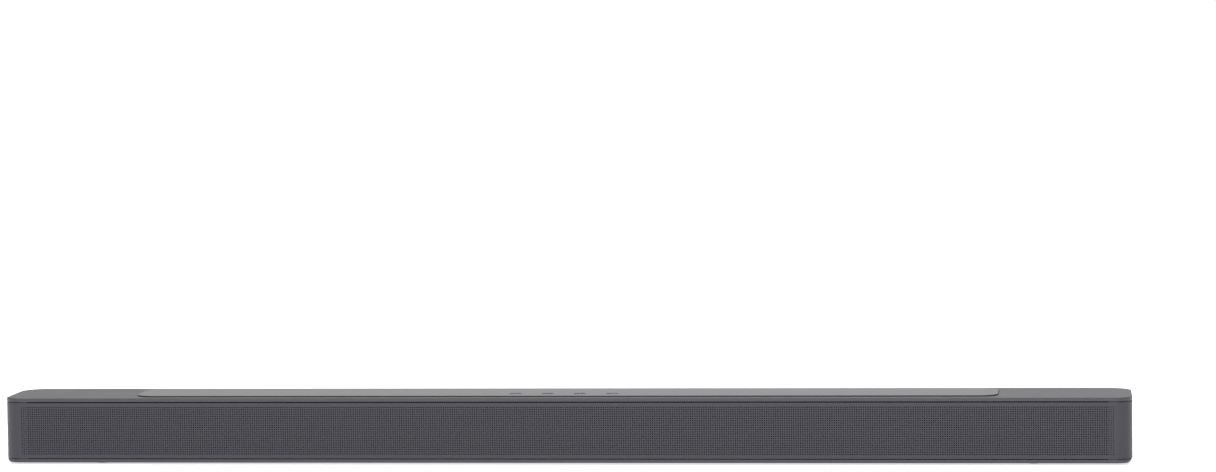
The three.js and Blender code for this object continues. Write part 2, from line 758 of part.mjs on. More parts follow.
function transformer() {
  const x = POWER_BOARD.left + 38;
  const bottom = BOARD_TOP + GAP;
  const core = box(x - 13, x + 13, -24, -8, bottom + 3, bottom + 9)
    .add(box(x - 13, x + 13, -24, -8, bottom + 15, bottom + 21));
  const legs = joined([x - 13, x + 8].map((at) => box(at, at + 5, -24, -8, bottom + 3, bottom + 21)));
  const winding = box(x - 9, x + 9, -27, -5, bottom, bottom + 19);
  return part('transformer', joined([core, legs, winding]), FINISH.ferrite);
}

// A lead along the floor from one woofer to the other, past the main board's plug.
function speakerHarness() {
  const half = [[40, -14, 8], [PARTITION.x, -14, 8], [294, -17, 8], [314, -25, 11], [326, -29, 20]];
  const right = half.map(([x, y, z]) => new THREE.Vector3(x, y, z));
  const left = half.map(([x, y, z]) => new THREE.Vector3(-x, y, z)).reverse();
  const path = new THREE.CatmullRomCurve3([...left, ...right], false, 'centripetal');
  const section = Array.from({ length: 8 }, (_, i) => {
    const angle = i * Math.PI / 4;
    return new THREE.Vector2(1.8 * Math.cos(angle), 1.8 * Math.sin(angle));
  });
  const geometry = new THREE.ExtrudeGeometry(new THREE.Shape(section), {
    steps: 44, extrudePath: path, bevelEnabled: false,
  });
  return part('speaker_harness', solid(geometry), FINISH.black);
}

function harnessHoles() {
  return [-1, 1].map((side) => {
    const near = side * (PARTITION.x + PARTITION.thickness / 2);
    return box(near - 3, near + 3, -17, -11, 5, 11);
  });
}

// ---------------------------------------------------------------- sockets
// They stand on their board and open to the rear, through the wall of a bay.

// A flat-topped outline with its two lower corners cut off.
function hdmiOutline(x, inset) {
  const [half, bottom, top] = [7.7 - inset, BOARD_TOP + GAP + inset, BOARD_TOP + GAP + 6 - inset];
  const [shoulder, sole] = [bottom + 2, half - 1.8];
  return [[-half, top], [-half, shoulder], [-sole, bottom], [sole, bottom], [half, shoulder],
    [half, top]].map(([dx, z]) => new THREE.Vector2(x + dx, z));
}

function hdmiSocket(name, x) {
  const middle = BOARD_TOP + GAP + 3.3;
  const body = cut(
    prismAlongY(hdmiOutline(x, 0), 7, MOUTH),
    prismAlongY(hdmiOutline(x, 0.6), MOUTH - 9, MOUTH + PAST),
  ).add(box(x - 5.2, x + 5.2, MOUTH - 10, MOUTH - 1.5, middle - 0.7, middle + 0.7));
  return part(name, body, FINISH.zinc);
}

function usbSocket() {
  const x = SOCKETS.usb;
  const bottom = BOARD_TOP + GAP;
  const outline = (inset) => rounded(x - 7.2 + inset, x + 7.2 - inset, bottom + inset,
    bottom + 7 - inset, 0.8 - inset / 2, 0.8 - inset / 2, 3);
  const body = cut(
    prismAlongY(outline(0), 7, MOUTH),
    prismAlongY(outline(0.6), MOUTH - 10, MOUTH + PAST),
  ).add(box(x - 5.6, x + 5.6, MOUTH - 11, MOUTH - 1, bottom + 3.9, bottom + 5.5));
  return part('usb_socket', body, FINISH.zinc);
}

const OPTICAL = { half: 5.5, mouthHalf: 4.3, depth: 9, z: BOARD_TOP + GAP + 5.5 };

function opticalSocket() {
  const { half, mouthHalf, depth, z } = OPTICAL;
  const x = SOCKETS.optical;
  const body = box(x - half, x + half, 7, MOUTH, z - half, z + half)
    .subtract(box(x - mouthHalf, x + mouthHalf, MOUTH - depth, MOUTH + PAST, z - mouthHalf,
      z + mouthHalf))
    .add(pin(x, z, 1.5, MOUTH - depth - 1, MOUTH - depth + 0.8, 16));
  return part('optical_socket', body, FINISH.black);
}

// A flap just inside the mouth, hung on its top edge.
function opticalShutter() {
  const { z } = OPTICAL;
  const x = SOCKETS.optical;
  return part('optical_shutter', box(x - 4, x + 4, MOUTH - 1.2, MOUTH - GAP, z - 4, z + 4),
    FINISH.black);
}

function socketCutouts(front = BAY.wallFront - 1, rear = BAY.wallRear + 1, room = 0.4) {
  const bottom = BOARD_TOP + GAP;
  const hole = (x, half, height) => box(x - half - room, x + half + room, front, rear,
    bottom - room, bottom + height + room);
  return [
    hole(SOCKETS.hdmiIn, 7.7, 6), hole(SOCKETS.hdmiOut, 7.7, 6),
    hole(SOCKETS.optical, OPTICAL.half, 11), hole(SOCKETS.usb, 7.2, 7),
  ];
}

function connectorPlate() {
  const [side, bottom, top] = [SIGNAL_BAY.halfWidth - 1, BAY.bottom + 0.7, BAY.top - 1];
  const front = BAY.wallRear + GAP;
  const plate = prismAlongY(rounded(-side, side, bottom, top, 2.5), front, front + 0.8);
  return part('connector_plate', cut(plate, ...socketCutouts(front - 1, front + 2)), FINISH.black);
}

function inletCutout() {
  const { x, z, halfWidth, halfHeight } = INLET;
  const room = 0.4;
  return box(x - halfWidth - room, x + halfWidth + room, BAY.wallFront - 1, BAY.wallRear + 1,
    z - halfHeight - room, z + halfHeight + room);
}

// A figure-8 mains inlet: two pins in a cavity with round ends.
function acInlet() {
  const { x, z, halfWidth, halfHeight, pinSpacing } = INLET;
  const face = BAY.wallRear + GAP;
  const at = (points) => points.map((p) => new THREE.Vector2(p.x + x, p.y + z));
  const body = box(x - halfWidth, x + halfWidth, 4, face + 0.5, z - halfHeight, z + halfHeight);
  const flange = prismAlongY(at(rounded(-13, 13, -9.5, 9.5, 2)), face, face + 1.7);
  const cavity = prismAlongY(at(stadium(pinSpacing / 2 - 1.2, 4.3, 10)), face - 8.3, face + PAST);
  const pins = [-1, 1].map((side) => pin(x + side * pinSpacing / 2, z, 1.2, face - 9, face, 16));
  return part('ac_inlet', cut(body.add(flange), cavity).add(joined(pins)), FINISH.black);
}

// ---------------------------------------------------------------- the bar

const soundbar = new THREE.Group();
soundbar.name = 'soundbar';
soundbar.add(
  lowerHousing(), topCover(), controlPlate(), frontGrille(), grilleCloth(), frontBaffle(),
  ...feet(), ...caseScrews(), ...bracketInserts(),
  ...buttons(), controlBoard(), buttonFrame(),
  woofer('left', -1), woofer('right', 1), tweeter('left', -1), tweeter('right', 1),
  displayBoard(), displayLens(),
  mainBoard(), heatSink(), powerBoard(), transformer(), speakerHarness(),
  hdmiSocket('hdmi_in_socket', SOCKETS.hdmiIn), hdmiSocket('hdmi_out_socket', SOCKETS.hdmiOut),
  usbSocket(), opticalSocket(), opticalShutter(), connectorPlate(), acInlet(),
);

export default soundbar;
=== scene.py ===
"""A slim soundbar on a pale floor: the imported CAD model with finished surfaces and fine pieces."""
import json
import math

import bmesh
import bpy
from mathutils import Matrix, Vector

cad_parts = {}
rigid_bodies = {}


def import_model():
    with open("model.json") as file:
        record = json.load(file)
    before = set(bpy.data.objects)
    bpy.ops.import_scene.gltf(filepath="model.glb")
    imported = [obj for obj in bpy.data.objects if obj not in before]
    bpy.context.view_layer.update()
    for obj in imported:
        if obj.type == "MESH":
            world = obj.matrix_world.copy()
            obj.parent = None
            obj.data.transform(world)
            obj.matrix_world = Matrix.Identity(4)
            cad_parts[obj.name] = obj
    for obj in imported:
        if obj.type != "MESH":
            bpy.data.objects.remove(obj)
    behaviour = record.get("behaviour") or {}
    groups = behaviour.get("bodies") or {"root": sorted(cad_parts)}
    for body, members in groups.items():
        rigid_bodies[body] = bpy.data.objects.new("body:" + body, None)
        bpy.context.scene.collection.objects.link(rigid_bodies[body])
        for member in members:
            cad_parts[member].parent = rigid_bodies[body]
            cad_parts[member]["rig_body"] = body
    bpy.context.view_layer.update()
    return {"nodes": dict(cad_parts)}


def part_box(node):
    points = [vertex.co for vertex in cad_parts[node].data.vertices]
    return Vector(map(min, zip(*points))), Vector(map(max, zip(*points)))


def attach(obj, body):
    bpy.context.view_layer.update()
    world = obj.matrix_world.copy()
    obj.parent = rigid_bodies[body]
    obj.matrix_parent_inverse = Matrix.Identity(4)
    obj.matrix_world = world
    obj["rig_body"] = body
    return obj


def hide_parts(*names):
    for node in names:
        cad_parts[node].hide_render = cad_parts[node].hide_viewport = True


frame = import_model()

MM = 0.001
HAIR = 0.01 * MM
HARD_EDGE = math.radians(34)
CHASSIS = "chassis"
LEFT_RIGHT = (("left", -1), ("right", 1))
BUTTONS = ("power", "volume_down", "volume_up", "source")
SOCKETS = ("hdmi_in_socket", "hdmi_out_socket", "optical_socket", "usb_socket")

# The tray's box, and what its box doesn't tell: plan radii, gaps and sheet.
BAR_LOW, BAR_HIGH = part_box("lower_housing")
FRONT_RADIUS = 15 * MM
REAR_RADIUS = 21 * MM
SEAM = 0.3 * MM
PLATE_RADIUS = 16 * MM
PLATE_GAP = 0.4 * MM
BUTTON_RADIUS = 4.9 * MM
BUTTON_GAP = 0.35 * MM
SHEET = 0.9 * MM
FLANGE = 3.3 * MM
FLANGE_END = 460 * MM

# The square pattern of round holes in the grille's flat front.
PERFORATION_PITCH = 1.9 * MM
PERFORATION_COLUMNS = 246
HOLE_RADIUS = 0.62 * MM
PLAIN_BORDER = 3 * MM

# The opening of both woofers: half the straight side, and the radius of the round ends. The
# flange round it is this much longer at each end, and this much wider.
WOOFER_STRAIGHT = 24.5 * MM
WOOFER_RADIUS = 18.5 * MM
FLANGE_LONGER = 1.5 * MM
FLANGE_WIDER = 4.5 * MM
FLANGE_TOP = 2 * MM

# The thickness of the circuit boards.
BOARD = 1.6 * MM

# The camera's place, its heading, pitch and roll in degrees, and its lens in millimetres.
CAMERA_PLACE = (0.415, -3.537, 0.414)
CAMERA_TURN = (6.08, 3.57, -0.663)
CAMERA_LENS = 123.3

# The light of the white horizon and of the light table.
HORIZON = 1.05
TABLE_GLOW = 0.65


# ---------------- camera

def place_camera():
    """A long lens, a little to the right of the bar and above it."""
    heading, pitch, roll = map(math.radians, CAMERA_TURN)
    data = bpy.data.cameras.new("camera")
    data.sensor_width = 36
    data.lens = CAMERA_LENS
    data.clip_end = 50
    camera = in_scene("camera", data)
    turn = (Matrix.Rotation(heading, 4, "Z") @ Matrix.Rotation(math.pi / 2 - pitch, 4, "X")
            @ Matrix.Rotation(roll, 4, "Z"))
    camera.matrix_world = Matrix.Translation(CAMERA_PLACE) @ turn
    bpy.context.scene.camera = camera


# ---------------- materials

class Nodes:
    """A small helper that adds and links the nodes of one tree."""

    def __init__(self, tree):
        self.tree = tree
        self.where = self.add("TexCoord")

    def add(self, kind, inputs=None, **settings):
        """A node with its settings, and with values for its free inputs."""
        node = self.tree.nodes.new("ShaderNode" + kind)
        for key, value in settings.items():
            setattr(node, key, value)
        for socket, value in (inputs or {}).items():
            node.inputs[socket].default_value = value
        return node

    def link(self, source, output, target, socket):
        self.tree.links.new(source.outputs[output], target.inputs[socket])

    def scaled(self, stretch=(1, 1, 1)):
        """Object coordinates, stretched along the axes."""
        mapping = self.add("Mapping", {"Scale": stretch})
        self.link(self.where, "Object", mapping, "Vector")
        return mapping

    def noise(self, size, detail=2, stretch=(1, 1, 1)):
        """Noise whose features are about size metres wide, from 0 to 1."""
        node = self.add("TexNoise", {"Scale": 1 / size, "Detail": detail})
        self.link(self.scaled(stretch), "Vector", node, "Vector")
        return node

    def ramp(self, source, output, low, high, start=0.3, end=0.7):
        """A range from low to high as source goes from start to end."""
        node = self.add("MapRange", {"From Min": start, "From Max": end, "To Min": low,
                                     "To Max": high})
        self.link(source, output, node, "Value")
        return node

    def mix(self, factor, output, low, high):
        """A colour from low to high by a factor."""
        node = self.add("Mix", {6: (*low, 1), 7: (*high, 1)}, data_type="RGBA")
        self.link(factor, output, node, 0)
        return node

    def calculate(self, operation, *operands):
        """A sum on numbers and (node, output) pairs."""
        node = self.add("Math", operation=operation)
        for place, operand in enumerate(operands):
            if isinstance(operand, tuple):
                self.link(*operand, node, place)
            else:
                node.inputs[place].default_value = operand
        return node


class Finish(Nodes):
    """The nodes of one material round its shader, which has some uniform levels."""

    def __init__(self, levels=None):
        self.material = bpy.data.materials.new("finish")
        self.material.use_nodes = True
        self.material.node_tree.nodes.clear()
        super().__init__(self.material.node_tree)
        self.shader = self.add("BsdfPrincipled", levels)
        self.link(self.shader, "BSDF", self.add("OutputMaterial"), "Surface")

    def colour(self, source, output, low, high):
        self.link(self.mix(source, output, low, high), 2, self.shader, "Base Color")

    def cloudy(self, source, low, high, start=0.3, end=0.7):
        """Colours the material from low to high as a noise goes from start to end."""
        self.colour(self.ramp(source, "Fac", 0, 1, start, end), "Result", low, high)

    def roughness(self, source, low, high):
        self.link(self.ramp(source, "Fac", low, high), "Result", self.shader, "Roughness")

    def bump(self, source, height, output="Fac", under=None):
        """A relief of height metres, on top of another one if under is given."""
        node = self.add("Bump", {"Distance": height})
        self.link(source, output, node, "Height")
        if under is not None:
            self.link(under, "Normal", node, "Normal")
        self.link(node, "Normal", self.shader, "Normal")
        return node


def shade(colour, factor):
    return tuple(min(1.0, c * factor) for c in colour)


def moulded(colour, roughness=0.45, grain=0.45 * MM, relief=0.02 * MM, spread=0.04,
            specular=0.5):
    """Moulded plastic: an etched texture, the faintest flow clouds and an uneven sheen."""
    n = Finish({"Specular IOR Level": specular})
    etched = n.noise(grain, 2)
    n.cloudy(n.noise(45 * MM, 2), shade(colour, 1 - spread), shade(colour, 1 + spread))
    n.roughness(etched, roughness - 0.04, roughness + 0.04)
    n.bump(etched, relief)
    return n.material


def powder_coat(colour, roughness=0.42):
    """Powder coat on steel: orange peel, fine speckle and a satin sheen."""
    n = Finish({"Specular IOR Level": 0.3})
    speckle = n.noise(0.35 * MM, 1)
    n.cloudy(speckle, shade(colour, 0.9), shade(colour, 1.14), 0.35, 0.75)
    n.roughness(n.noise(6 * MM, 3), roughness - 0.04, roughness + 0.05)
    peel = n.bump(n.noise(1.1 * MM, 2), 0.02 * MM)
    n.bump(speckle, 0.006 * MM, under=peel)
    return n.material


def metal(colour, roughness=0.3, along=(1, 1, 1)):
    """Bare or plated metal: drawn or rolled lines and slight tarnish."""
    n = Finish({"Metallic": 1.0})
    lines = n.noise(0.25 * MM, 3, along)
    n.cloudy(n.noise(7 * MM, 4), shade(colour, 0.9), shade(colour, 1.1))
    n.roughness(lines, roughness - 0.08, roughness + 0.1)
    n.bump(lines, 0.006 * MM)
    return n.material


def rubber(colour, roughness=0.8):
    """Soft rubber: matt, with a fine pebble and dusty patches."""
    n = Finish({"Specular IOR Level": 0.35})
    dust = n.noise(4 * MM, 5)
    n.cloudy(dust, colour, shade(colour, 1.7), 0.35, 0.8)
    n.roughness(dust, roughness - 0.08, roughness + 0.08)
    n.bump(n.noise(0.3 * MM, 2), 0.03 * MM)
    return n.material


def woven(colour, pitch, relief, roughness=0.9):
    """A plain weave: two crossing sets of threads, each a row of soft ridges."""
    n = Finish()
    split = n.add("SeparateXYZ")
    n.link(n.where, "Object", split, "Vector")
    ridges = []
    for axis in ("X", "Z"):
        turn = n.calculate("MULTIPLY", (split, axis), math.pi / pitch)
        wave = n.calculate("SINE", (turn, "Value"))
        ridges.append((n.calculate("ABSOLUTE", (wave, "Value")), "Value"))
    threads = n.calculate("MAXIMUM", *ridges)
    fuzz = n.noise(1.5 * MM, 4)
    shading = n.calculate("MULTIPLY", (threads, "Value"), (n.ramp(fuzz, "Fac", 0.6, 1.2), "Result"))
    n.colour(shading, "Value", shade(colour, 0.35), shade(colour, 1.25))
    n.roughness(fuzz, roughness - 0.06, roughness + 0.06)
    n.bump(threads, relief, "Value")
    return n.material


def circuit_board():
    """Solder mask over copper: bundles of fine straight traces and a glossy skin."""
    n = Finish({"Coat Weight": 0.5, "Coat Roughness": 0.2})
    traces = n.add("TexBrick", {"Scale": 1 / MM, "Mortar Size": 0.16, "Mortar Smooth": 0.2,
                                "Brick Width": 17, "Row Height": 0.9}, offset=0.37)
    n.link(n.scaled(), "Vector", traces, "Vector")
    patches = n.ramp(n.noise(9 * MM, 1), "Fac", 0, 1, 0.47, 0.5)
    bundles = n.calculate("MULTIPLY", (traces, "Fac"), (patches, "Result"))
    n.colour(bundles, "Value", (0.010, 0.060, 0.028), (0.025, 0.13, 0.055))
    n.roughness(n.noise(3 * MM, 3), 0.35, 0.5)
    n.bump(bundles, 0.03 * MM, "Value")
    return n.material


def pulp(colour):
    """Pressed paper pulp: matted fibres."""
    n = Finish()
    fibres = n.noise(0.8 * MM, 6, (1, 1, 3))
    n.cloudy(fibres, shade(colour, 0.7), shade(colour, 1.5))
    n.roughness(fibres, 0.8, 0.95)
    n.bump(fibres, 0.08 * MM)
    return n.material


def winding(colour, pitch):
    """Enamelled wire laid turn by turn along Y, with painted shade in the grooves between turns."""
    n = Finish({"Metallic": 0.85})
    turns = n.add("TexWave", {"Scale": math.pi / (10 * pitch)}, bands_direction="Y")
    n.link(n.scaled(), "Vector", turns, "Vector")
    # The colour darkens in the grooves between turns: painted shade there.
    n.colour(turns, "Fac", shade(colour, 0.45), colour)
    n.roughness(n.noise(2 * MM, 3), 0.28, 0.42)
    n.bump(turns, 0.1 * MM)
    return n.material


def smoked(colour):
    """Polished dark window: deep gloss with the faintest waviness."""
    n = Finish({"Coat Weight": 1.0, "Coat Roughness": 0.03})
    n.cloudy(n.noise(12 * MM, 2), colour, shade(colour, 1.5))
    n.roughness(n.noise(5 * MM, 3), 0.08, 0.14)
    n.bump(n.noise(8 * MM, 1), 0.01 * MM)
    return n.material


def sintered(colour):
    """Bare ferrite: ground grey with pits and a faint sparkle."""
    n = Finish({"Metallic": 0.35})
    pits = n.noise(0.5 * MM, 5)
    n.cloudy(pits, shade(colour, 0.6), shade(colour, 1.4))
    n.roughness(n.noise(2 * MM, 3), 0.45, 0.65)
    n.bump(pits, 0.04 * MM)
    return n.material


def pale_floor():
    """A pale sheet over a light table, that glows a little by itself."""
    n = Finish({"Emission Color": (1, 1, 1, 1), "Emission Strength": TABLE_GLOW,
                "Specular IOR Level": 0.2, "Roughness": 0.7})
    n.cloudy(n.noise(0.4, 2), (0.90, 0.90, 0.90), (0.93, 0.93, 0.93))
    return n.material


def make_finishes():
    """One finish for each material slot of the record, and two more: raised signs and floor."""
    finishes = {
        "casing": moulded((0.042, 0.0405, 0.050), 0.42, specular=0.46),
        "control_plate": moulded((0.036, 0.035, 0.042), 0.32, 0.3 * MM, 0.004 * MM, 0.03, 0.45),
        "grille": powder_coat((0.043, 0.0415, 0.052)),
        "cloth": woven((0.045, 0.045, 0.049), 0.6 * MM, 0.15 * MM),
        "dark_plastic": moulded((0.020, 0.020, 0.022), 0.5),
        "button": moulded((0.045, 0.044, 0.051), 0.62, 0.25 * MM, 0.02 * MM),
        "rubber": rubber((0.018, 0.018, 0.018)),
        "zinc_steel": metal((0.56, 0.57, 0.59), 0.3, (1, 0.1, 1)),
        "brass": metal((0.66, 0.46, 0.2), 0.28, (1, 0.1, 1)),
        "circuit_board": circuit_board(),
        "lens": smoked((0.008, 0.008, 0.011)),
        "pressed_steel": powder_coat((0.035, 0.035, 0.037), 0.4),
        "magnet": sintered((0.085, 0.08, 0.076)),
        "surround_rubber": rubber((0.020, 0.020, 0.021), 0.7),
        "cone_paper": pulp((0.030, 0.030, 0.032)),
        "copper": winding((0.72, 0.33, 0.16), 0.25 * MM),
        "dome_silk": woven((0.055, 0.053, 0.058), 0.25 * MM, 0.04 * MM, 0.6),
        "heat_sink": metal((0.62, 0.63, 0.64), 0.36, (1, 0.06, 1)),
        "lead": rubber((0.015, 0.015, 0.016), 0.55),
        "print": moulded((0.26, 0.26, 0.27), 0.55, 0.2 * MM, 0.004 * MM),
        "pale_floor": pale_floor(),
    }
    for name, material in finishes.items():
        material.name = name
    return finishes


# ---------------- mesh helpers

def as_mesh(name, bm):
    mesh = bpy.data.meshes.new(name)
    bm.to_mesh(mesh)
    bm.free()
    return mesh


def in_scene(name, data):
    """A new object of the scene, made from its data."""
    made = bpy.data.objects.new(name, data)
    bpy.context.scene.collection.objects.link(made)
    return made


def body_of(node):
    return frame["nodes"][node]["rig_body"]


def finished(name, bm, slot=None, body=CHASSIS, replaces=(), sharp=32, finish=None, also=()):
    """Turns a bmesh into a piece that rides on a body and wears the finish of its slot. also
    gives (finish, test) pairs: a face whose centre passes the test wears that finish instead."""
    bmesh.ops.recalc_face_normals(bm, faces=bm.faces)
    for index, (_, test) in enumerate(also):
        for face in bm.faces:
            if test(face.calc_center_median()):
                face.material_index = index + 1
    for edge in bm.edges:
        edge.smooth = edge.calc_face_angle(0) < math.radians(sharp)
    piece = in_scene(name, as_mesh(name, bm))
    for key in (finish or slot, *[other for other, _ in also]):
        piece.data.materials.append(FINISHES[key])
    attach(piece, body)
    if replaces:
        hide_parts(*replaces)
    return piece


def replaced(node, bm, slot, ending="_finished", **rest):
    """Finishes a piece that takes the place of one CAD node, on the node's body."""
    return finished(node + ending, bm, slot, body_of(node), (node,), **rest)


def arc(x, y, across, up, start, end, steps):
    """Points of an arc about (x, y), from one angle to another. Both are counted in turns."""
    angles = [2 * math.pi * (start + (end - start) * i / steps) for i in range(steps + 1)]
    return [(x + across * math.cos(a), y + up * math.sin(a)) for a in angles]


def circle(x, y, radius, steps=48):
    return arc(x, y, radius, radius, 0, 1, steps)[:-1]


def stadium(straight, radius, x=0.0, y=0.0, steps=28):
    """Two half circles joined by straight sides, anticlockwise."""
    return (arc(x + straight, y, radius, radius, -1 / 4, 1 / 4, steps)
            + arc(x - straight, y, radius, radius, 1 / 4, 3 / 4, steps))


def rounded(left, right, low, high, low_radius, high_radius=None, steps=8):
    """An outline(inset) of a rounded rectangle, anticlockwise."""
    high_radius = high_radius or low_radius
    corners = ((right - high_radius, high - high_radius, high_radius),
               (left + high_radius, high - high_radius, high_radius),
               (left + low_radius, low + low_radius, low_radius),
               (right - low_radius, low + low_radius, low_radius))

    def outline(inset):
        points = []
        for turn, (x, y, radius) in enumerate(corners):
            reach = radius - inset
            points += arc(x, y, reach, reach, turn / 4, (turn + 1) / 4, steps)
        return points

    return outline


def rectangle(left, right, low, high):
    """An outline(inset) of a plain rectangle."""
    return lambda inset: [(right - inset, low + inset), (right - inset, high - inset),
                          (left + inset, high - inset), (left + inset, low + inset)]


def ring(bm, points, z):
    return [bm.verts.new((x, y, z)) for x, y in points]


def skin(bm, rings, closed=False):
    """Quads between rings of the same length. closed joins the last ring to the first."""
    pairs = list(zip(rings, rings[1:])) + ([(rings[-1], rings[0])] if closed else [])
    for low, high in pairs:
        count = len(low)
        for i in range(count):
            j = (i + 1) % count
            bm.faces.new((low[i], low[j], high[j], high[i])).smooth = True


def fill(bm, *loops):
    """A flat face between an outer ring and any number of inner ones."""
    edges = []
    for loop in loops:
        for a, b in zip(loop, loop[1:] + loop[:1]):
            edges.append(bm.edges.get((a, b)) or bm.edges.new((a, b)))
    made = bmesh.ops.triangle_fill(bm, edges=edges, use_beauty=True)
    for item in made["geom"]:
        if isinstance(item, bmesh.types.BMFace):
            item.smooth = False


def eased(low, high, bottom_ease, top_ease, steps=4):
    """(inset, z) from low to high, with both ends rounded to the given radii."""
    return (arc(bottom_ease, low + bottom_ease, bottom_ease, bottom_ease, 3 / 4, 1 / 2, steps)
            + arc(top_ease, high - top_ease, top_ease, top_ease, 1 / 2, 1 / 4, steps))


def wall(bm, outline, profile):
    """The skin of an outline(inset) along an (inset, z) profile. Gives back its end rings."""
    rings = [ring(bm, outline(inset), z) for inset, z in profile]
    skin(bm, rings)
    return rings[0], rings[-1]


def slab(bm, outer, low, high, holes=(), bottom_ease=0.2 * MM, top_ease=0.2 * MM, steps=4):
    """A flat plate with eased edges. outer(inset) gives its outline, and each hole(grown) the
    outline of a hole, whose rim is eased as well."""
    profile = eased(low, high, bottom_ease, top_ease, steps)
    for rims in zip(*[wall(bm, outline, profile) for outline in (outer, *holes)]):
        fill(bm, *rims)


def sleeve(bm, outline, back, mouth, thickness, floor, ease=0.1 * MM):
    """A shell that is closed at its back and open at its mouth, down to its floor."""
    profile = [(ease, back), (0, back + ease), (0, mouth - ease), (ease, mouth),
               (thickness - ease, mouth), (thickness, mouth - ease), (thickness, floor)]
    for end in wall(bm, outline, profile):
        fill(bm, end)


def lathe(bm, profile, centre=(0, 0), steps=48, closed=True):
    """A profile of (radius, z) turned about an upright axis. Points on the axis close it there;
    a closed profile off the axis ends where it starts."""
    rings = []
    for radius, z in profile:
        if radius < 1e-7:
            rings.append([bm.verts.new((*centre, z))])
        else:
            rings.append(ring(bm, circle(*centre, radius, steps), z))
    pairs = list(zip(rings, rings[1:]))
    if closed and len(rings[0]) > 1:
        pairs.append((rings[-1], rings[0]))
    for low, high in pairs:
        for i in range(steps):
            j = (i + 1) % steps
            corners = [low[i % len(low)], low[j % len(low)], high[j % len(high)], high[i % len(high)]]
            corners = list(dict.fromkeys(corners))
            if len(corners) > 2:
                bm.faces.new(corners).smooth = True
    return rings


def turned(node, profile, slot, steps=48, ending="_finished"):
    """A piece turned about the upright axis of its CAD node."""
    place = middle(node)
    bm = bmesh.new()
    lathe(bm, profile, (place.x, place.y), steps)
    replaced(node, bm, slot, ending)


def to_front(bm, centre):
    """Turns what was built upright about the origin to face -Y, at centre."""
    turn = Matrix.Translation(centre) @ Matrix.Rotation(math.pi / 2, 4, "X")
    bmesh.ops.transform(bm, matrix=turn, verts=bm.verts)


def along_y(bm):
    """Lays down what was built upright: its outline is then in X and Z, its height along Y."""
    for vert in bm.verts:
        vert.co = (vert.co.x, vert.co.z, vert.co.y)


def add_block(bm, low, high):
    corners = [bm.verts.new((x, y, z)) for z in (low[2], high[2])
               for x, y in ((low[0], low[1]), (high[0], low[1]), (high[0], high[1]),
                            (low[0], high[1]))]
    skin(bm, [corners[:4], corners[4:]])
    bm.faces.new(corners[:4])
    bm.faces.new(corners[4:])


def blocks(boxes, ease=0.06 * MM):
    """One bmesh of small blocks with eased edges, from (lowest, highest) corners."""
    bm = bmesh.new()
    for low, high in boxes:
        add_block(bm, low, high)
    bmesh.ops.recalc_face_normals(bm, faces=bm.faces)
    smooth_where_curved(bm)
    bevelled(bm, bm.edges[:], ease, 2)
    return bm


def smooth_where_curved(bm):
    """Smooth faces where a surface bends gently round most of their outline, else flat ones."""
    for face in bm.faces:
        gentle = [e for e in face.edges if len(e.link_faces) == 2
                  and math.radians(1) < e.calc_face_angle(0) < HARD_EDGE]
        face.smooth = sum(e.calc_length() for e in gentle) > 0.4 * face.calc_perimeter()


def bevelled(bm, edges, ease, steps):
    """Eases edges. Only the new faces turn smooth, so flat ones stay evenly lit."""
    made = bmesh.ops.bevel(bm, geom=edges, offset=ease, segments=steps, profile=0.5,
                           affect="EDGES", clamp_overlap=True)
    for face in made["faces"]:
        face.smooth = True


def cad_copy(node):
    """The mesh of a CAD node, with its corners joined."""
    bm = bmesh.new()
    bm.from_mesh(frame["nodes"][node].data)
    bmesh.ops.remove_doubles(bm, verts=bm.verts, dist=1e-6)
    return bm


def softened(node, slot, ease=0.25 * MM, also=(), steps=2, sharp=32):
    """A copy of a CAD node with its sharp edges eased, in the node's place."""
    bm = cad_copy(node)
    bmesh.ops.dissolve_limit(bm, angle_limit=math.radians(1), verts=bm.verts, edges=bm.edges)
    hard = [e for e in bm.edges if len(e.link_faces) == 2 and e.calc_face_angle(0) > HARD_EDGE]
    smooth_where_curved(bm)
    bevelled(bm, hard, ease, steps)
    return replaced(node, bm, slot, sharp=sharp, also=also)


def middle(node):
    low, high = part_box(node)
    return (low + high) / 2


# ---------------- casing

BAR_OUTLINE = rounded(BAR_LOW.x, BAR_HIGH.x, BAR_LOW.y, BAR_HIGH.y, FRONT_RADIUS, REAR_RADIUS, 24)


def plate_outline(inset):
    low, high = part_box("control_plate")
    return rounded(low.x, high.x, low.y, high.y, PLATE_RADIUS, steps=16)(inset)


def button_holes():
    places = [middle("button_" + name) for name in BUTTONS]
    return [lambda grown, p=p: circle(p.x, p.y, BUTTON_RADIUS + BUTTON_GAP + grown, 64)
            for p in places]


def rest_of(bm, node, point, direction):
    """Adds the part of a CAD node behind a plane, closed off there."""
    part = cad_copy(node)
    cut = bmesh.ops.bisect_plane(part, geom=part.verts[:] + part.edges[:] + part.faces[:],
                                 plane_co=point, plane_no=direction, clear_outer=True)
    edges = [e for e in cut["geom_cut"] if isinstance(e, bmesh.types.BMEdge)]
    bmesh.ops.triangle_fill(part, edges=edges, use_beauty=True)
    smooth_where_curved(part)
    mesh = as_mesh("part", part)
    bm.from_mesh(mesh)
    bpy.data.meshes.remove(mesh)


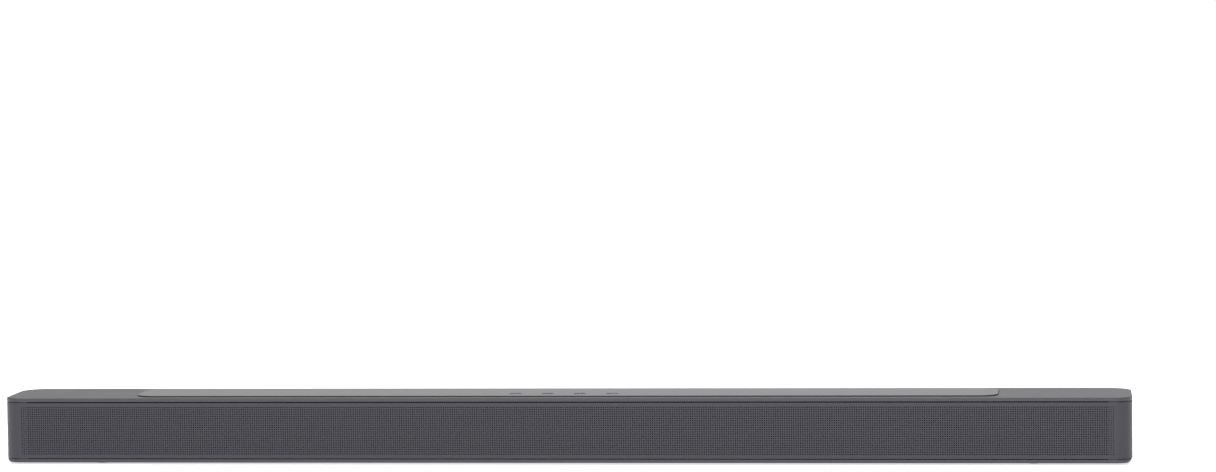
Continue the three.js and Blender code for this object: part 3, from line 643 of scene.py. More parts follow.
def make_top_cover():
    """The lid: eased edges, a shallow pocket for the plate, and the bosses and ribs under it."""
    bottom = BAR_HIGH.z + SEAM
    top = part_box("top_cover")[1].z
    pocket_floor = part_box("control_plate")[0].z - SEAM
    lower_ease, upper_ease, lip_ease = 0.25 * MM, 0.45 * MM, 0.2 * MM
    bm = bmesh.new()
    under, brim = wall(bm, BAR_OUTLINE, eased(bottom, top, lower_ease, upper_ease, 6))
    lip = [(-PLATE_GAP - inset, z) for inset, z in eased(pocket_floor, top, 0, lip_ease, 3)]
    pocket, mouth = wall(bm, plate_outline, lip)
    fill(bm, brim, mouth)
    holes = [wall(bm, hole, [(0, bottom), (0, pocket_floor)]) for hole in button_holes()]
    fill(bm, under, *[low for low, _ in holes])
    fill(bm, pocket, *[high for _, high in holes])
    rest_of(bm, "top_cover", (0, 0, bottom - HAIR), (0, 0, 1))
    replaced("top_cover", bm, "casing")


def make_control_plate():
    low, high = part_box("control_plate")
    bm = bmesh.new()
    ease = 0.2 * MM
    slab(bm, plate_outline, low.z, high.z, button_holes(), 0.1 * MM, ease)
    # The plate's side wall and its lower ease wear dark plastic: painted shade that stands in for the
    # shadow in the gap round the plate.
    gap_shadow_rim = ("dark_plastic", lambda p: p.z < high.z - ease / 2)
    replaced("control_plate", bm, "control_plate", also=(gap_shadow_rim,))


def make_button(name):
    """A round cap with a dished top, a collar under the lid and a stem, and its raised symbol."""
    node = "button_" + name
    low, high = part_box(node)
    collar_top = BAR_HIGH.z
    collar_bottom = collar_top - 1.3 * MM
    collar = (high.x - low.x) / 2
    stem, ease, edge, dish, sunk = (v * MM for v in (2.5, 0.45, 0.1, 0.3, 0.02))
    profile = [(0, low.z), (stem - edge, low.z), (stem, low.z + edge), (stem, collar_bottom),
               (collar - edge, collar_bottom), (collar, collar_bottom + edge),
               (collar, collar_top - edge), (collar - edge, collar_top),
               (BUTTON_RADIUS, collar_top)]
    profile += arc(BUTTON_RADIUS - ease, high.z - ease, ease, ease, 0, 1 / 4, 6)
    steps = 8
    for i in range(1, steps + 1):
        part = 1 - i / steps
        profile.append(((BUTTON_RADIUS - ease) * part, high.z - dish * (1 - part ** 2)))
    turned(node, profile, "button", 64, "_cap")
    make_symbol(name, middle(node), high.z - dish - sunk)


def stroke(bm, points, width, low, high):
    """A flat stroke of one width along a line of points, with mitred bends and square ends."""
    points = [Vector(point) for point in points]
    sides = []
    for i, point in enumerate(points):
        before = (point - points[i - 1]).normalized() if i else None
        after = (points[i + 1] - point).normalized() if i + 1 < len(points) else before
        before = before or after
        along = (before + after).normalized()
        across = Vector((-along.y, along.x)) * width / 2 / along.dot(after)
        sides.append((point + across, point - across))
    loop = [a for a, _ in sides] + [b for _, b in reversed(sides)]
    rings = [ring(bm, loop, low), ring(bm, loop, high)]
    skin(bm, rings)
    for end in rings:
        fill(bm, end)


def draw(bm, strokes, x, y, width, low, height):
    """Strokes about a point, each a hair higher than the last, so that crossings stay clean."""
    for i, points in enumerate(strokes):
        placed = [(x + px, y + py) for px, py in points]
        stroke(bm, placed, width, low, low + height + 0.01 * MM * i)


def make_symbol(name, place, z):
    """The generic sign on a cap: power, minus, plus, or an arrow into a frame."""
    arm, head, line, relief = (v * MM for v in (2.6, 1.1, 0.62, 0.24))
    bow = 0.73 * arm
    strokes = {
        "power": [arc(0, 0, bow, bow, 125 / 360, 415 / 360, 29), [(0, 0.2 * arm), (0, 1.04 * arm)]],
        "volume_down": [[(-arm, 0), (arm, 0)]],
        "volume_up": [[(-arm, 0), (arm, 0)], [(0, -arm), (0, arm)]],
        "source": [[(-0.1 * arm, 0.8 * arm), (arm, 0.8 * arm), (arm, -0.8 * arm),
                    (-0.1 * arm, -0.8 * arm)], [(-arm, 0), (0.3 * arm, 0)],
                   [(0.3 * arm - head, head), (0.4 * arm, 0), (0.3 * arm - head, -head)]],
    }[name]
    bm = bmesh.new()
    draw(bm, strokes, place.x, place.y, line, z, relief)
    finished("symbol_" + name, bm, body=body_of("button_" + name), finish="print", sharp=20)


# ---------------- grille

def make_grille():
    """Wrapped sheet steel. It is one sheet, held in two meshes that meet in the middle."""
    low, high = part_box("front_grille")
    hole_rows = round((high.z - low.z - 2 * PLAIN_BORDER) / PERFORATION_PITCH)
    first = (low.z + high.z - hole_rows * PERFORATION_PITCH) / 2
    levels = [first + row * PERFORATION_PITCH for row in range(hole_rows + 1)]
    for name, side in LEFT_RIGHT:
        bm = bmesh.new()
        perforated_field(bm, side, levels, low, high)
        wrapped_end(bm, side, levels, low, high)
        bmesh.ops.remove_doubles(bm, verts=bm.verts, dist=1e-6)
        flanges(bm, side, low, high)
        replaced("front_grille", bm, "grille", "_" + name, sharp=40)


def perforated_field(bm, side, levels, low, high):
    """One half of the flat front: a grid of cells, each a square of sheet round one hole."""
    front = low.y
    back = front + SHEET
    stops = [low.z, *levels, high.z]
    grid = {(i, k, y): bm.verts.new((side * i * PERFORATION_PITCH, y, z))
            for i in range(PERFORATION_COLUMNS + 1) for k, z in enumerate(stops)
            for y in (front, back)}

    def corners(i, k, y):
        return [grid[i, k, y], grid[i + 1, k, y], grid[i + 1, k + 1, y], grid[i, k + 1, y]]

    for i in range(PERFORATION_COLUMNS):
        x = side * (i + 0.5) * PERFORATION_PITCH
        for k in range(1, len(stops) - 2):
            z = (stops[k] + stops[k + 1]) / 2
            perforated_cell(bm, corners(i, k, front), corners(i, k, back),
                            hole_ring(bm, x, z, front, 8, side), hole_ring(bm, x, z, back, 4, side))
        for k in (0, len(stops) - 2):
            bm.faces.new(corners(i, k, front))
            bm.faces.new(corners(i, k, back))
        for k in (0, len(stops) - 1):
            bm.faces.new((grid[i, k, front], grid[i + 1, k, front], grid[i + 1, k, back],
                          grid[i, k, back]))
    for k in range(len(stops) - 1):
        bm.faces.new((grid[0, k, front], grid[0, k + 1, front], grid[0, k + 1, back],
                      grid[0, k, back]))


def perforated_cell(bm, quad, rear, near, far):
    """The faces between a cell's square front and back and its hole, eight-sided in front."""
    for q in range(4):
        a, b, c = near[2 * q], near[2 * q + 1], near[(2 * q + 2) % 8]
        after = (q + 1) % 4
        bm.faces.new((quad[q], quad[after], c, b, a))
        bm.faces.new((rear[q], rear[after], far[after], far[q]))
        bm.faces.new((a, b, far[q]))
        bm.faces.new((b, far[after], far[q]))
        bm.faces.new((b, c, far[after]))


def hole_ring(bm, x, z, y, sides, side):
    """A ring of a hole's vertices, that starts towards the cell's lower inner corner."""
    points = arc(x, z, side * HOLE_RADIUS, HOLE_RADIUS, -3 / 8, 5 / 8, sides)[:-1]
    return [bm.verts.new((px, y, pz)) for px, pz in points]


def wrapped_end(bm, side, levels, low, high):
    """The plain end of the sheet, from the last column of holes round the corner to the seam."""
    last_hole = PERFORATION_COLUMNS * PERFORATION_PITCH
    outside, inside = (arc(high.x - FRONT_RADIUS, low.y + FRONT_RADIUS, r, r, -1 / 4, 0, 24)
                       for r in (FRONT_RADIUS, FRONT_RADIUS - SHEET))
    path = [((last_hole, low.y), (last_hole, low.y + SHEET)), *zip(outside, inside),
            ((high.x, high.y), (high.x - SHEET, high.y))]
    columns = []
    for place, pair in enumerate(path):
        stops = [low.z, *levels, high.z] if place == 0 else [low.z, high.z]
        columns.append([[bm.verts.new((side * x, y, z)) for z in stops] for x, y in pair])
    for place, (here, there) in enumerate(zip(columns, columns[1:])):
        curved = 0 < place < len(columns) - 2
        for face in (0, 1):
            bm.faces.new(here[face] + there[face][::-1]).smooth = curved
        for end in (0, -1):
            bm.faces.new((here[0][end], here[1][end], there[1][end], there[0][end]))
    last = columns[-1]
    bm.faces.new((last[0][0], last[1][0], last[1][1], last[0][1]))


def flanges(bm, side, low, high):
    """The long edges are folded in behind the face."""
    left, right = sorted((0, side * FLANGE_END))
    for bottom in (low.z, high.z - SHEET):
        add_block(bm, (left, low.y + SHEET, bottom), (right, low.y + FLANGE, bottom + SHEET))


def make_cloth():
    """The acoustic cloth, stretched behind the grille."""
    low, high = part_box("grille_cloth")
    cell = 5 * MM
    across = round((high.x - low.x) / cell)
    up = round((high.z - low.z) / cell)
    y = (low.y + high.y) / 2
    bm = bmesh.new()
    rows = [[bm.verts.new((low.x + (high.x - low.x) * i / across, y,
                           low.z + (high.z - low.z) * k / up)) for i in range(across + 1)]
            for k in range(up + 1)]
    for below, above in zip(rows, rows[1:]):
        for i in range(across):
            bm.faces.new((below[i], below[i + 1], above[i + 1], above[i]))
    piece = replaced("grille_cloth", bm, "cloth", "_sheet")


# ---------------- feet, screws and inserts

def make_foot(node):
    """A rubber pad with a rolled rim and a small moulding dimple."""
    low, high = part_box(node)
    radius = (high.x - low.x) / 2
    dimple, depth, roll = 3 * MM, 0.35 * MM, 1.1 * MM
    profile = [(0, depth), (dimple, depth), (dimple + 0.3 * MM, 0.05 * MM), (dimple + 0.7 * MM, 0),
               *arc(radius - roll, roll, roll, roll, -1 / 4, 0, 6), (radius, high.z), (0, high.z)]
    turned(node, profile, "rubber", ending="_pad")


def threaded(radius, low, high, pitch, depth, end_ease=0.3 * MM):
    """(radius, z) points up a screw thread, drawn as a row of ridges."""
    points = [(radius - depth, low + end_ease)]
    z = low + end_ease
    while z + pitch < high - end_ease:
        points += [(radius, z + pitch / 2), (radius - depth, z + pitch)]
        z += pitch
    return points


def make_case_screw(node):
    """A pan head screw that points up, with a cross recess in its head."""
    low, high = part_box(node)
    place = middle(node)
    head = (high.x - low.x) / 2
    shank, height, edge, pitch, cut, tip = (v * MM for v in (1.5, 1.7, 0.1, 0.9, 0.35, 2))
    top = low.z + height
    profile = [(head - 5 * edge, low.z), (head - 1.5 * edge, low.z + 1.5 * edge),
               (head, low.z + 5 * edge), (head, top - edge), (head - edge, top),
               (shank - cut, top), *threaded(shank, top, high.z - tip, pitch, cut), (0, high.z)]
    bm = bmesh.new()
    rings = lathe(bm, profile, (place.x, place.y), 32, closed=False)
    arm, half, depth, taper = 1.6 * MM, 0.35 * MM, 1.1 * MM, 0.7
    cross = [(arm, -half), (arm, half), (half, half)]
    for _ in range(3):
        cross += [(-y, x) for x, y in cross[-3:]]
    mouth, floor = wall(bm, lambda size: [(place.x + size * x, place.y + size * y) for x, y in cross],
                        ((1, low.z), (taper, low.z + depth)))
    fill(bm, floor)
    fill(bm, rings[0], mouth)
    replaced(node, bm, "zinc_steel")


def make_insert(node):
    """A knurled brass insert with a waist and a threaded bore, open to the rear."""
    low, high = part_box(node)
    place = middle(node)
    outer = (high.x - low.x) / 2
    bore, mouth, ease, waist, tooth, pitch, cut = (
        v * MM for v in (1.7, 0.35, 0.3, 0.4, 0.12, 0.7, 0.25))
    teeth = 28
    waist_start, waist_low, waist_high, waist_end = (low.y + v * MM for v in (4, 4.6, 5.8, 6.4))
    thread = [(r, low.y + high.y - y) for r, y in
              threaded(bore + cut, low.y, high.y, pitch, cut)]
    profile = [(bore, low.y), (outer - ease, low.y), (outer, low.y + ease), (outer, waist_start),
               (outer - waist, waist_low), (outer - waist, waist_high), (outer, waist_end),
               (outer, high.y - ease), (outer - ease, high.y), (bore + mouth, high.y),
               (bore, high.y - mouth), *[(r, y) for r, y in thread if y < high.y - mouth]]
    rings = []
    for radius, y in profile:
        dips = (0, tooth if radius == outer else 0)
        points = []
        for i in range(2 * teeth):
            angle, reach = math.pi * i / teeth, radius - dips[i % 2]
            points.append((place.x + reach * math.cos(angle), place.z + reach * math.sin(angle)))
        rings.append((points, y))
    bm = bmesh.new()
    skin(bm, [ring(bm, points, y) for points, y in rings], closed=True)
    along_y(bm)
    replaced(node, bm, "brass")


# ---------------- drivers
# They are built upright about their own axis, with z = 0 at the baffle's face, then turned.

def driver_centre(node):
    place = middle(node)
    return (place.x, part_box("front_baffle")[0].y, place.z)


def turned_to_front(node, profile, centre, slot, steps=48, **rest):
    """A piece turned about the axis of a driver."""
    bm = bmesh.new()
    lathe(bm, profile, steps=steps)
    to_front(bm, centre)
    replaced(node, bm, slot, **rest)


def make_basket(name):
    """The pressed basket: its smooth racetrack flange, and the bowl behind it."""
    node = "woofer_basket_" + name
    centre = driver_centre(node)

    def flange(inset):
        return stadium(WOOFER_STRAIGHT + FLANGE_LONGER, WOOFER_RADIUS + FLANGE_WIDER - inset)

    def opening(grown):
        return stadium(WOOFER_STRAIGHT, WOOFER_RADIUS + grown)

    bm = bmesh.new()
    slab(bm, flange, SEAM, FLANGE_TOP, (opening,), 0.1 * MM, 0.5 * MM)
    to_front(bm, centre)
    rest_of(bm, node, (0, centre[1] - 0.8 * SEAM, 0), (0, -1, 0))
    replaced(node, bm, "pressed_steel")


def make_surround(name):
    """The rubber half roll between the basket and the cone."""
    node = "woofer_surround_" + name
    outer_land, inner_land, crest, roll, thickness = (v * MM for v in (0.4, 5.6, 3.2, 1.9, 0.5))
    top, bottom, flatten = 0.2 * MM, -0.3 * MM, 0.9
    inner_roll = roll - thickness
    profile = [(outer_land, top), *arc(crest, top, roll, flatten * roll, 1 / 2, 0, 14),
               (inner_land, top), (inner_land, bottom),
               *arc(crest, bottom, inner_roll, flatten * inner_roll, 0, 1 / 2, 14),
               (outer_land, bottom)]
    bm = bmesh.new()
    skin(bm, [ring(bm, stadium(WOOFER_STRAIGHT, WOOFER_RADIUS - inset), z)
              for inset, z in profile], closed=True)
    to_front(bm, driver_centre(node))
    replaced(node, bm, "surround_rubber")


def make_cone(name):
    """The pulp cone, from the racetrack edge to the round neck, with three pressed rings."""
    node = "woofer_cone_" + name
    edge, neck, depth, thickness = (v * MM for v in (12.2, 8.6, 8, 0.4))
    steps = 24

    def section(t, offset):
        ripple = 0.12 * MM * math.sin(3 * 2 * math.pi * t) * math.sin(math.pi * t)
        outline = stadium(WOOFER_STRAIGHT * (1 - t) + 0.2 * MM, edge + (neck - edge) * t + offset)
        return outline, -0.2 * MM - depth * t ** 0.8 - offset + ripple

    front = [section(i / steps, 0) for i in range(steps + 1)]
    back = [section(1 - i / steps, thickness) for i in range(steps + 1)]
    bm = bmesh.new()
    skin(bm, [ring(bm, outline, z) for outline, z in front + back], closed=True)
    to_front(bm, driver_centre("woofer_surround_" + name))
    replaced(node, bm, "cone_paper", sharp=50)


def make_dome(node, centre, slot, *sizes):
    """A thin dome with a short skirt. Its sizes are in millimetres."""
    radius, base, rise, thickness, skirt = (v * MM for v in sizes)
    inner, crown = radius - thickness, rise - thickness
    outside = arc(0, base, radius, rise, 0, 1 / 4, 14)[:-1]
    inside = arc(0, base, inner, crown, 0, 1 / 4, 14)[:-1]
    profile = [(0, base + rise), *reversed(outside), (radius, base - skirt),
               (inner, base - skirt), *inside, (0, base + crown)]
    turned_to_front(node, profile, centre, slot, sharp=50)


def make_magnet(node, centre, *sizes):
    """A pot magnet: a ferrite ring between a back plate with a pole piece and a front plate.
    Its sizes are in millimetres."""
    outer, back, front, lip, gap_outer, room, gap_inner, floor = (v * MM for v in sizes)
    ease = 0.4 * MM
    step = 0.6 * MM
    profile = [(0, back), (outer - step - ease, back), (outer - step, back + ease),
               (outer - step, floor), (outer - ease, floor), (outer, floor + ease),
               (outer, front - lip - ease), (outer - ease, front - lip), (outer - step, front - lip),
               (outer - step, front - ease), (outer - step - ease, front), (gap_outer, front),
               (gap_outer, front - lip), (room, front - lip), (room, floor), (gap_inner, floor),
               (gap_inner, front - ease), (gap_inner - ease, front), (0, front)]
    near, far = centre[1] - (front - lip), centre[1] - floor
    plates = ("zinc_steel", lambda p: p.y < near - HAIR or p.y > far + HAIR)
    turned_to_front(node, profile, centre, "magnet", 64, also=(plates,))


def make_voice_coil(name):
    """Copper wire wound on the rear half of an aluminium former."""
    node = "woofer_voice_coil_" + name
    low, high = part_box(node)
    outer = (high.x - low.x) / 2
    inner = 8 * MM
    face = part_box("front_baffle")[0].y
    top, bottom = face - low.y, face - high.y
    wire = 0.25 * MM
    turns = [(outer - 0.08 * MM * (i % 2), bottom + i * wire / 2)
             for i in range(int(0.45 * (top - bottom) / (wire / 2)))]
    former = outer - 0.3 * MM
    profile = [(inner, bottom), *turns, (former, turns[-1][1]), (former, top), (inner, top)]
    split = face - turns[-1][1]
    bare = ("heat_sink", lambda p: p.y < split - HAIR)
    turned_to_front(node, profile, driver_centre(node), "copper", 40, sharp=60, also=(bare,))


def make_spider(name):
    """The corrugated cloth ring that keeps the coil centred."""
    thickness, inner, outer, level, wave = (v * MM for v in (0.35, 9.2, 15.2, -12, 0.55))
    waves, steps = 4, 40
    profile = [(inner + (outer - inner) * i / steps,
                level + wave * math.sin(2 * math.pi * waves * i / steps)) for i in range(steps + 1)]
    profile += [(r, z - thickness) for r, z in reversed(profile)]
    bm = bmesh.new()
    lathe(bm, profile, steps=48)
    to_front(bm, driver_centre("woofer_surround_" + name))
    finished("woofer_spider_" + name, bm, "cloth", sharp=60)


def make_tweeter_plate(name):
    """The tweeter's round plate, with a short flared throat."""
    node = "tweeter_faceplate_" + name
    low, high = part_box(node)
    rim = (high.x - low.x) / 2
    throat, neck, gap, top = 10.8 * MM, 12.5 * MM, 0.3 * MM, 2 * MM
    flare = arc(throat, top, 2.2 * MM, 1.2 * MM, -1 / 4, 0, 8)
    profile = [(throat, -2.3 * MM), (neck, -2.3 * MM), (neck, gap), (rim, gap), (rim, 1.6 * MM),
               (rim - 0.4 * MM, top), (16.5 * MM, top), (16.2 * MM, top - 0.25 * MM),
               (15.4 * MM, top - 0.25 * MM), (15.1 * MM, top), *reversed(flare)]
    turned_to_front(node, profile, driver_centre(node), "dark_plastic", 72)


def make_driver_screws(name):
    """Pan head screws through the flanges of one side's two drivers."""
    woofer = driver_centre("woofer_basket_" + name)
    tweeter = driver_centre("tweeter_faceplate_" + name)
    woofer_end, woofer_circle, tweeter_circle = WOOFER_STRAIGHT + FLANGE_LONGER, 21.3 * MM, 18.2 * MM
    head, rim, rise = 1.4 * MM, 0.4 * MM, 0.5 * MM
    crown = arc(0, FLANGE_TOP + rim, head, rise, 0, 1 / 4, 5)
    profile = [(0, FLANGE_TOP), (head, FLANGE_TOP), *crown[:-1], (0, crown[-1][1])]
    bm = bmesh.new()
    for centre, end, radius in ((woofer, woofer_end, woofer_circle), (tweeter, 0, tweeter_circle)):
        reach = math.sqrt(0.5) * radius
        for side in (-1, 1):
            for up in (-1, 1):
                lathe(bm, profile, (centre[0] + side * (end + reach), centre[2] + up * reach), 24)
    to_front(bm, (0, woofer[1], 0))
    finished("driver_screws_" + name, bm, "zinc_steel")


def make_drivers():
    for name, _ in LEFT_RIGHT:
        make_basket(name)
        make_surround(name)
        make_cone(name)
        centre = driver_centre("woofer_surround_" + name)
        make_dome("woofer_dust_cap_" + name, centre, "cone_paper", 8.4, -7.6, 3, 0.4, 0.4)
        make_voice_coil(name)
        make_spider(name)
        make_magnet("woofer_magnet_" + name, centre, 19, -33, -15.4, 3.5, 9.6, 12, 7.1, -29)
        make_tweeter_plate(name)
        centre = driver_centre("tweeter_faceplate_" + name)
        make_dome("tweeter_dome_" + name, centre, "dome_silk", 9.6, -0.6, 3.6, 0.5, 4.4)
        make_magnet("tweeter_magnet_" + name, centre, 14, -16, -2.6, 3, 10.2, 12, 8.5, -12)
        make_driver_screws(name)


# ---------------- sockets

def make_tongue(node, level, half_width, half_height, back, mouth):
    """The plastic tongue inside a socket's shell."""
    x = middle(node).x
    box = ((x - half_width, back, level - half_height), (x + half_width, mouth, level + half_height))
    finished(node + "_tongue", blocks([box], 0.25 * MM), "dark_plastic")


def make_shell(node, outline, depth):
    """The formed steel shell of a socket, open to the rear."""
    low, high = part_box(node)
    bm = bmesh.new()
    sleeve(bm, outline, low.y, high.y, 0.5 * MM, high.y - depth)
    along_y(bm)
    replaced(node, bm, "zinc_steel", "_shell")


def make_hdmi(name):
    """A shell that narrows to a sole, and a tongue with gilt strips on both faces."""
    node = f"hdmi_{name}_socket"
    low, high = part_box(node)
    centre = middle(node).x
    half = (high.x - low.x) / 2
    shoulder, sole, depth = 2 * MM, half - 1.8 * MM, 9 * MM

    def outline(inset):
        reach, foot = half - inset, sole - 0.6 * inset
        bottom, bend, top = low.z + inset, low.z + shoulder + 0.4 * inset, high.z - inset
        return [(centre + x, z) for x, z in ((reach, bend), (reach, top), (-reach, top),
                                             (-reach, bend), (-foot, bottom), (foot, bottom))]

    make_shell(node, outline, depth)
    half_width, half_height, level = 5.2 * MM, 0.7 * MM, low.z + 3.3 * MM
    make_tongue(node, level, half_width, half_height, high.y - depth, high.y - 1.5 * MM)
    pitch, strip, rise = 1 * MM, 0.25 * MM, 0.06 * MM
    strips = []
    for face, number in ((1, 10), (-1, 9)):
        bottom, top = sorted(level + face * (half_height + side * rise) for side in (-1, 1))
        for i in range(number):
            x = centre + (i - (number - 1) / 2) * pitch
            strips.append(((x - strip, high.y - 8.8 * MM, bottom), (x + strip, high.y - 1.9 * MM, top)))
    finished(node + "_contacts", blocks(strips, 0.02 * MM), "brass")


def make_usb():
    node = "usb_socket"
    low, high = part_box(node)
    centre = middle(node).x
    depth = 10 * MM
    make_shell(node, rounded(low.x, high.x, low.z, high.z, 0.8 * MM, steps=4), depth)
    level = low.z + 4.7 * MM
    half_height, strip = 0.8 * MM, 0.5 * MM
    make_tongue(node, level, 5.6 * MM, half_height, high.y - depth, high.y - 1 * MM)
    strips = [((centre + x * MM - strip, high.y - 9.8 * MM, level - half_height - 0.08 * MM),
               (centre + x * MM + strip, high.y - 1.6 * MM, level - half_height + 0.06 * MM))
              for x in (-3.5, -1.1, 1.1, 3.5)]
    finished(node + "_contacts", blocks(strips, 0.03 * MM), "brass")


def make_inlet():
    """A figure-8 mains inlet: a flange on a block, with two round pins in its cavity."""
    node = "ac_inlet"
    low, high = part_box(node)
    place = middle(node)
    flange_front = high.y - 1.7 * MM
    cavity_floor = high.y - 10 * MM
    spacing = 8.6 * MM

    def cavity(grown):
        return stadium(spacing / 2 - 1.2 * MM, 4.3 * MM + grown, place.x, place.z)

    bm = bmesh.new()
    flange = rounded(low.x, high.x, low.z, high.z, 2 * MM)
    slab(bm, flange, flange_front, high.y, (cavity,), 0.05 * MM, 0.35 * MM)
    half_width, half_height, edge = 11 * MM, 7.5 * MM, 0.3 * MM
    block = rectangle(place.x - half_width, place.x + half_width,
                      place.z - half_height, place.z + half_height)
    back, front = wall(bm, block, ((edge, low.y), (0, low.y + edge), (0, flange_front)))
    floor, mouth = wall(bm, cavity, ((0, cavity_floor), (0, flange_front)))
    fill(bm, back)
    fill(bm, floor)
    fill(bm, front, mouth)
    along_y(bm)
    replaced(node, bm, "dark_plastic")
    bm = bmesh.new()
    pin, ease, foot = 1.2 * MM, 0.9 * MM, cavity_floor + 0.05 * MM
    nose = arc(pin - ease, flange_front - ease, ease, ease, 0, 1 / 4, 5)
    for side in (-1, 1):
        lathe(bm, [(0, foot), (pin, foot), *nose, (0, flange_front)],
              (place.x + side * spacing / 2, place.z), 28)
    along_y(bm)
    finished("ac_inlet_pins", bm, "zinc_steel")


def make_connector_plate():
    """The plate that frames the four signal sockets."""
    low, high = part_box("connector_plate")
    room = 0.4 * MM
    holes = [lambda grown, a=a, b=b: rectangle(a.x - room, b.x + room, a.z - room, b.z + room)(-grown)
             for a, b in map(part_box, SOCKETS)]
    bm = bmesh.new()
    outline = rounded(low.x, high.x, low.z, high.z, 2.5 * MM)
    slab(bm, outline, low.y, high.y, holes, 0.05 * MM, 0.15 * MM)
    along_y(bm)
    replaced("connector_plate", bm, "dark_plastic")


def make_socket_marks():
    """A generic mark above each socket: in, out, a circle for light and a frame for a stick."""
    arm = 1.7 * MM
    arrow = [[(-arm, 0), (0.9 * arm, 0)], [(0.3 * arm, 0.6 * arm), (arm, 0), (0.3 * arm, -0.6 * arm)]]
    back_arrow = [[(-x, z) for x, z in line] for line in arrow]
    disc = [arc(0, 0, 0.8 * arm, 0.8 * arm, 0, 350 / 360, 35)]
    panel = [[(0, 0.6 * arm), (-arm, 0.6 * arm), (-arm, -0.6 * arm), (arm, -0.6 * arm),
              (arm, 0.6 * arm), (0, 0.6 * arm)]]
    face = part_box("connector_plate")[1].y
    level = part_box("optical_socket")[1].z + 4 * MM
    bm = bmesh.new()
    for node, lines in zip(SOCKETS, (arrow, back_arrow, disc, panel)):
        draw(bm, lines, middle(node).x, level, 0.4 * MM, face, 0.03 * MM)
    along_y(bm)
    finished("socket_marks", bm, finish="print", sharp=20)


# ---------------- boards

def make_boards():
    """Circuit boards: green laminate, with the parts on them in black."""
    ease, skin_depth = 0.15 * MM, BOARD + 0.05 * MM
    for node in ("main_board", "power_board", "control_board"):
        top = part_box(node)[0].z + skin_depth
        softened(node, "circuit_board", ease, (("dark_plastic", lambda p, top=top: p.z > top),))
    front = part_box("display_board")[1].y - skin_depth
    softened("display_board", "circuit_board", ease, (("dark_plastic", lambda p: p.y < front),))
    make_small_parts("main_board", [((-68, -26), (-4, -1, 2)), ((28, 60), (0, 3)),
                                    ((30, 60), (-18, -15))])
    make_small_parts("power_board", [((98, 140), (8, 11)), ((150, 200), (11, 13))])
    make_small_parts("control_board", [((-55, 55), (-19, -6.5))])


def make_small_parts(node, areas):
    """Rows of chip resistors and capacitors with tinned ends. areas are in millimetres."""
    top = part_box(node)[0].z + BOARD
    pitch, size, end = 3.3 * MM, 1.2 * MM, 0.35 * MM
    bodies, ends = [], []
    for (left, right), rows in areas:
        for row, y in enumerate(rows):
            for i in range(int((right - left) * MM / pitch)):
                if (3 * i + 5 * row) % 7 == 0:
                    continue
                x, front, rear = left * MM + pitch * i, y * MM, y * MM + size
                height = top + (0.55 * MM if (i + row) % 3 else 0.85 * MM)
                bodies.append(((x, front, top), (x + size, rear, height)))
                for start in (x - end, x + size):
                    ends.append(((start, front, top), (start + end, rear, height)))
    finished(node + "_small_parts", blocks(bodies), "dark_plastic")
    finished(node + "_small_part_ends", blocks(ends), "zinc_steel")


def make_transformer():
    """A ferrite core round a taped winding."""
    low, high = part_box("transformer")
    front, rear = low.y + 3 * MM, high.y - 3 * MM
    winding = ("copper", lambda p: p.y < front - HAIR or p.y > rear + HAIR)
    softened("transformer", "magnet", 0.4 * MM, also=(winding,))


def make_plungers():
    for name in BUTTONS:
        node = "switch_plunger_" + name
        low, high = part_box(node)
        radius = (high.x - low.x) / 2
        ease = 0.25 * MM
        crown = arc(radius - ease, high.z - ease, ease, ease, 0, 1 / 4, 4)
        turned(node, [(0, low.z), (radius, low.z), *crown, (0, high.z)], "dark_plastic", 32)


# ---------------- stage

def make_stage():
    """A wide pale light table, a white horizon, and soft lamps above and in front."""
    bm = bmesh.new()
    bmesh.ops.create_grid(bm, x_segments=1, y_segments=1, size=40)
    floor = in_scene("floor", as_mesh("floor", bm))
    floor.data.materials.append(FINISHES["pale_floor"])
    make_world()
    softbox("overhead", (0, 0.3, 4), (7, 6), 170)
    softbox("front", (0.1, -3.2, 1.2), (3.2, 1.6), 46)
    bpy.context.scene.view_settings.view_transform = "Standard"


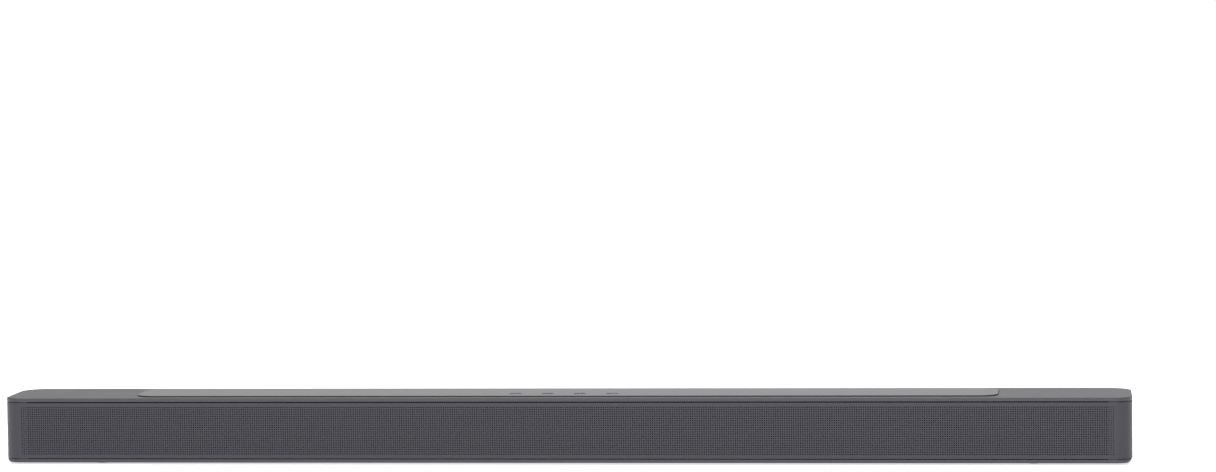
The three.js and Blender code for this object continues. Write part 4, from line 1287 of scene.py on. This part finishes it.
def make_world():
    """White round the horizon. Higher up it stays white behind and in front and overhead, and is
    dimmer between and to the sides, so that the bar's ends turn away dark."""
    world = bpy.data.worlds.new("studio")
    world.use_nodes = True
    n = Nodes(world.node_tree)
    background = n.tree.nodes["Background"]
    split = n.add("SeparateXYZ")
    n.link(n.where, "Generated", split, "Vector")
    ramp = n.add("ValToRGB")
    n.link(split, "Z", ramp, "Fac")
    ramp.color_ramp.interpolation = "EASE"
    stops = ((0.0, 1.0), (0.3, 1.0), (0.5, 0.4), (0.75, 0.4), (0.95, 1.0))
    while len(ramp.color_ramp.elements) < len(stops):
        ramp.color_ramp.elements.new(0.5)
    for element, (place, level) in zip(ramp.color_ramp.elements, stops):
        element.position = place
        element.color = (level, level, level, 1)
    sideways = n.calculate("ABSOLUTE", (split, "X"))
    dimmed = n.ramp(sideways, "Value", HORIZON, 0.12, 0.16, 0.55)
    above = n.ramp(split, "Z", 0, 1, 0.14, 0.24)
    strength = n.add("Mix", {2: HORIZON}, data_type="FLOAT")
    n.link(above, "Result", strength, 0)
    n.link(dimmed, "Result", strength, 3)
    n.link(ramp, "Color", background, "Color")
    n.link(strength, 0, background, "Strength")
    bpy.context.scene.world = world


def softbox(name, place, size, power):
    data = bpy.data.lights.new(name, "AREA")
    data.shape = "RECTANGLE"
    data.size, data.size_y = size
    data.energy = power
    lamp = in_scene(name, data)
    lamp.location = place
    lamp.rotation_euler = (-Vector(place)).to_track_quat("-Z", "Y").to_euler()


# ---------------- everything

place_camera()
FINISHES = make_finishes()
softened("lower_housing", "casing", 0.3 * MM)
make_top_cover()
make_control_plate()
for button in BUTTONS:
    make_button(button)
make_grille()
make_cloth()
for node_name in sorted(frame["nodes"]):
    if node_name.startswith("foot_"):
        make_foot(node_name)
    elif node_name.startswith("case_screw_"):
        make_case_screw(node_name)
    elif node_name.startswith("bracket_insert_"):
        make_insert(node_name)
make_hdmi("in")
make_hdmi("out")
make_usb()
make_inlet()
make_connector_plate()
make_socket_marks()
softened("optical_socket", "dark_plastic", 0.2 * MM)
softened("optical_shutter", "dark_plastic", 0.2 * MM)
make_drivers()
softened("front_baffle", "dark_plastic", 0.4 * MM)
softened("button_frame", "dark_plastic", 0.2 * MM)
softened("display_lens", "lens", 0.35 * MM, steps=3)
softened("heat_sink", "heat_sink", 0.15 * MM)
softened("speaker_harness", "lead", 0.2 * MM, sharp=60)
make_boards()
make_transformer()
make_plungers()
make_stage()
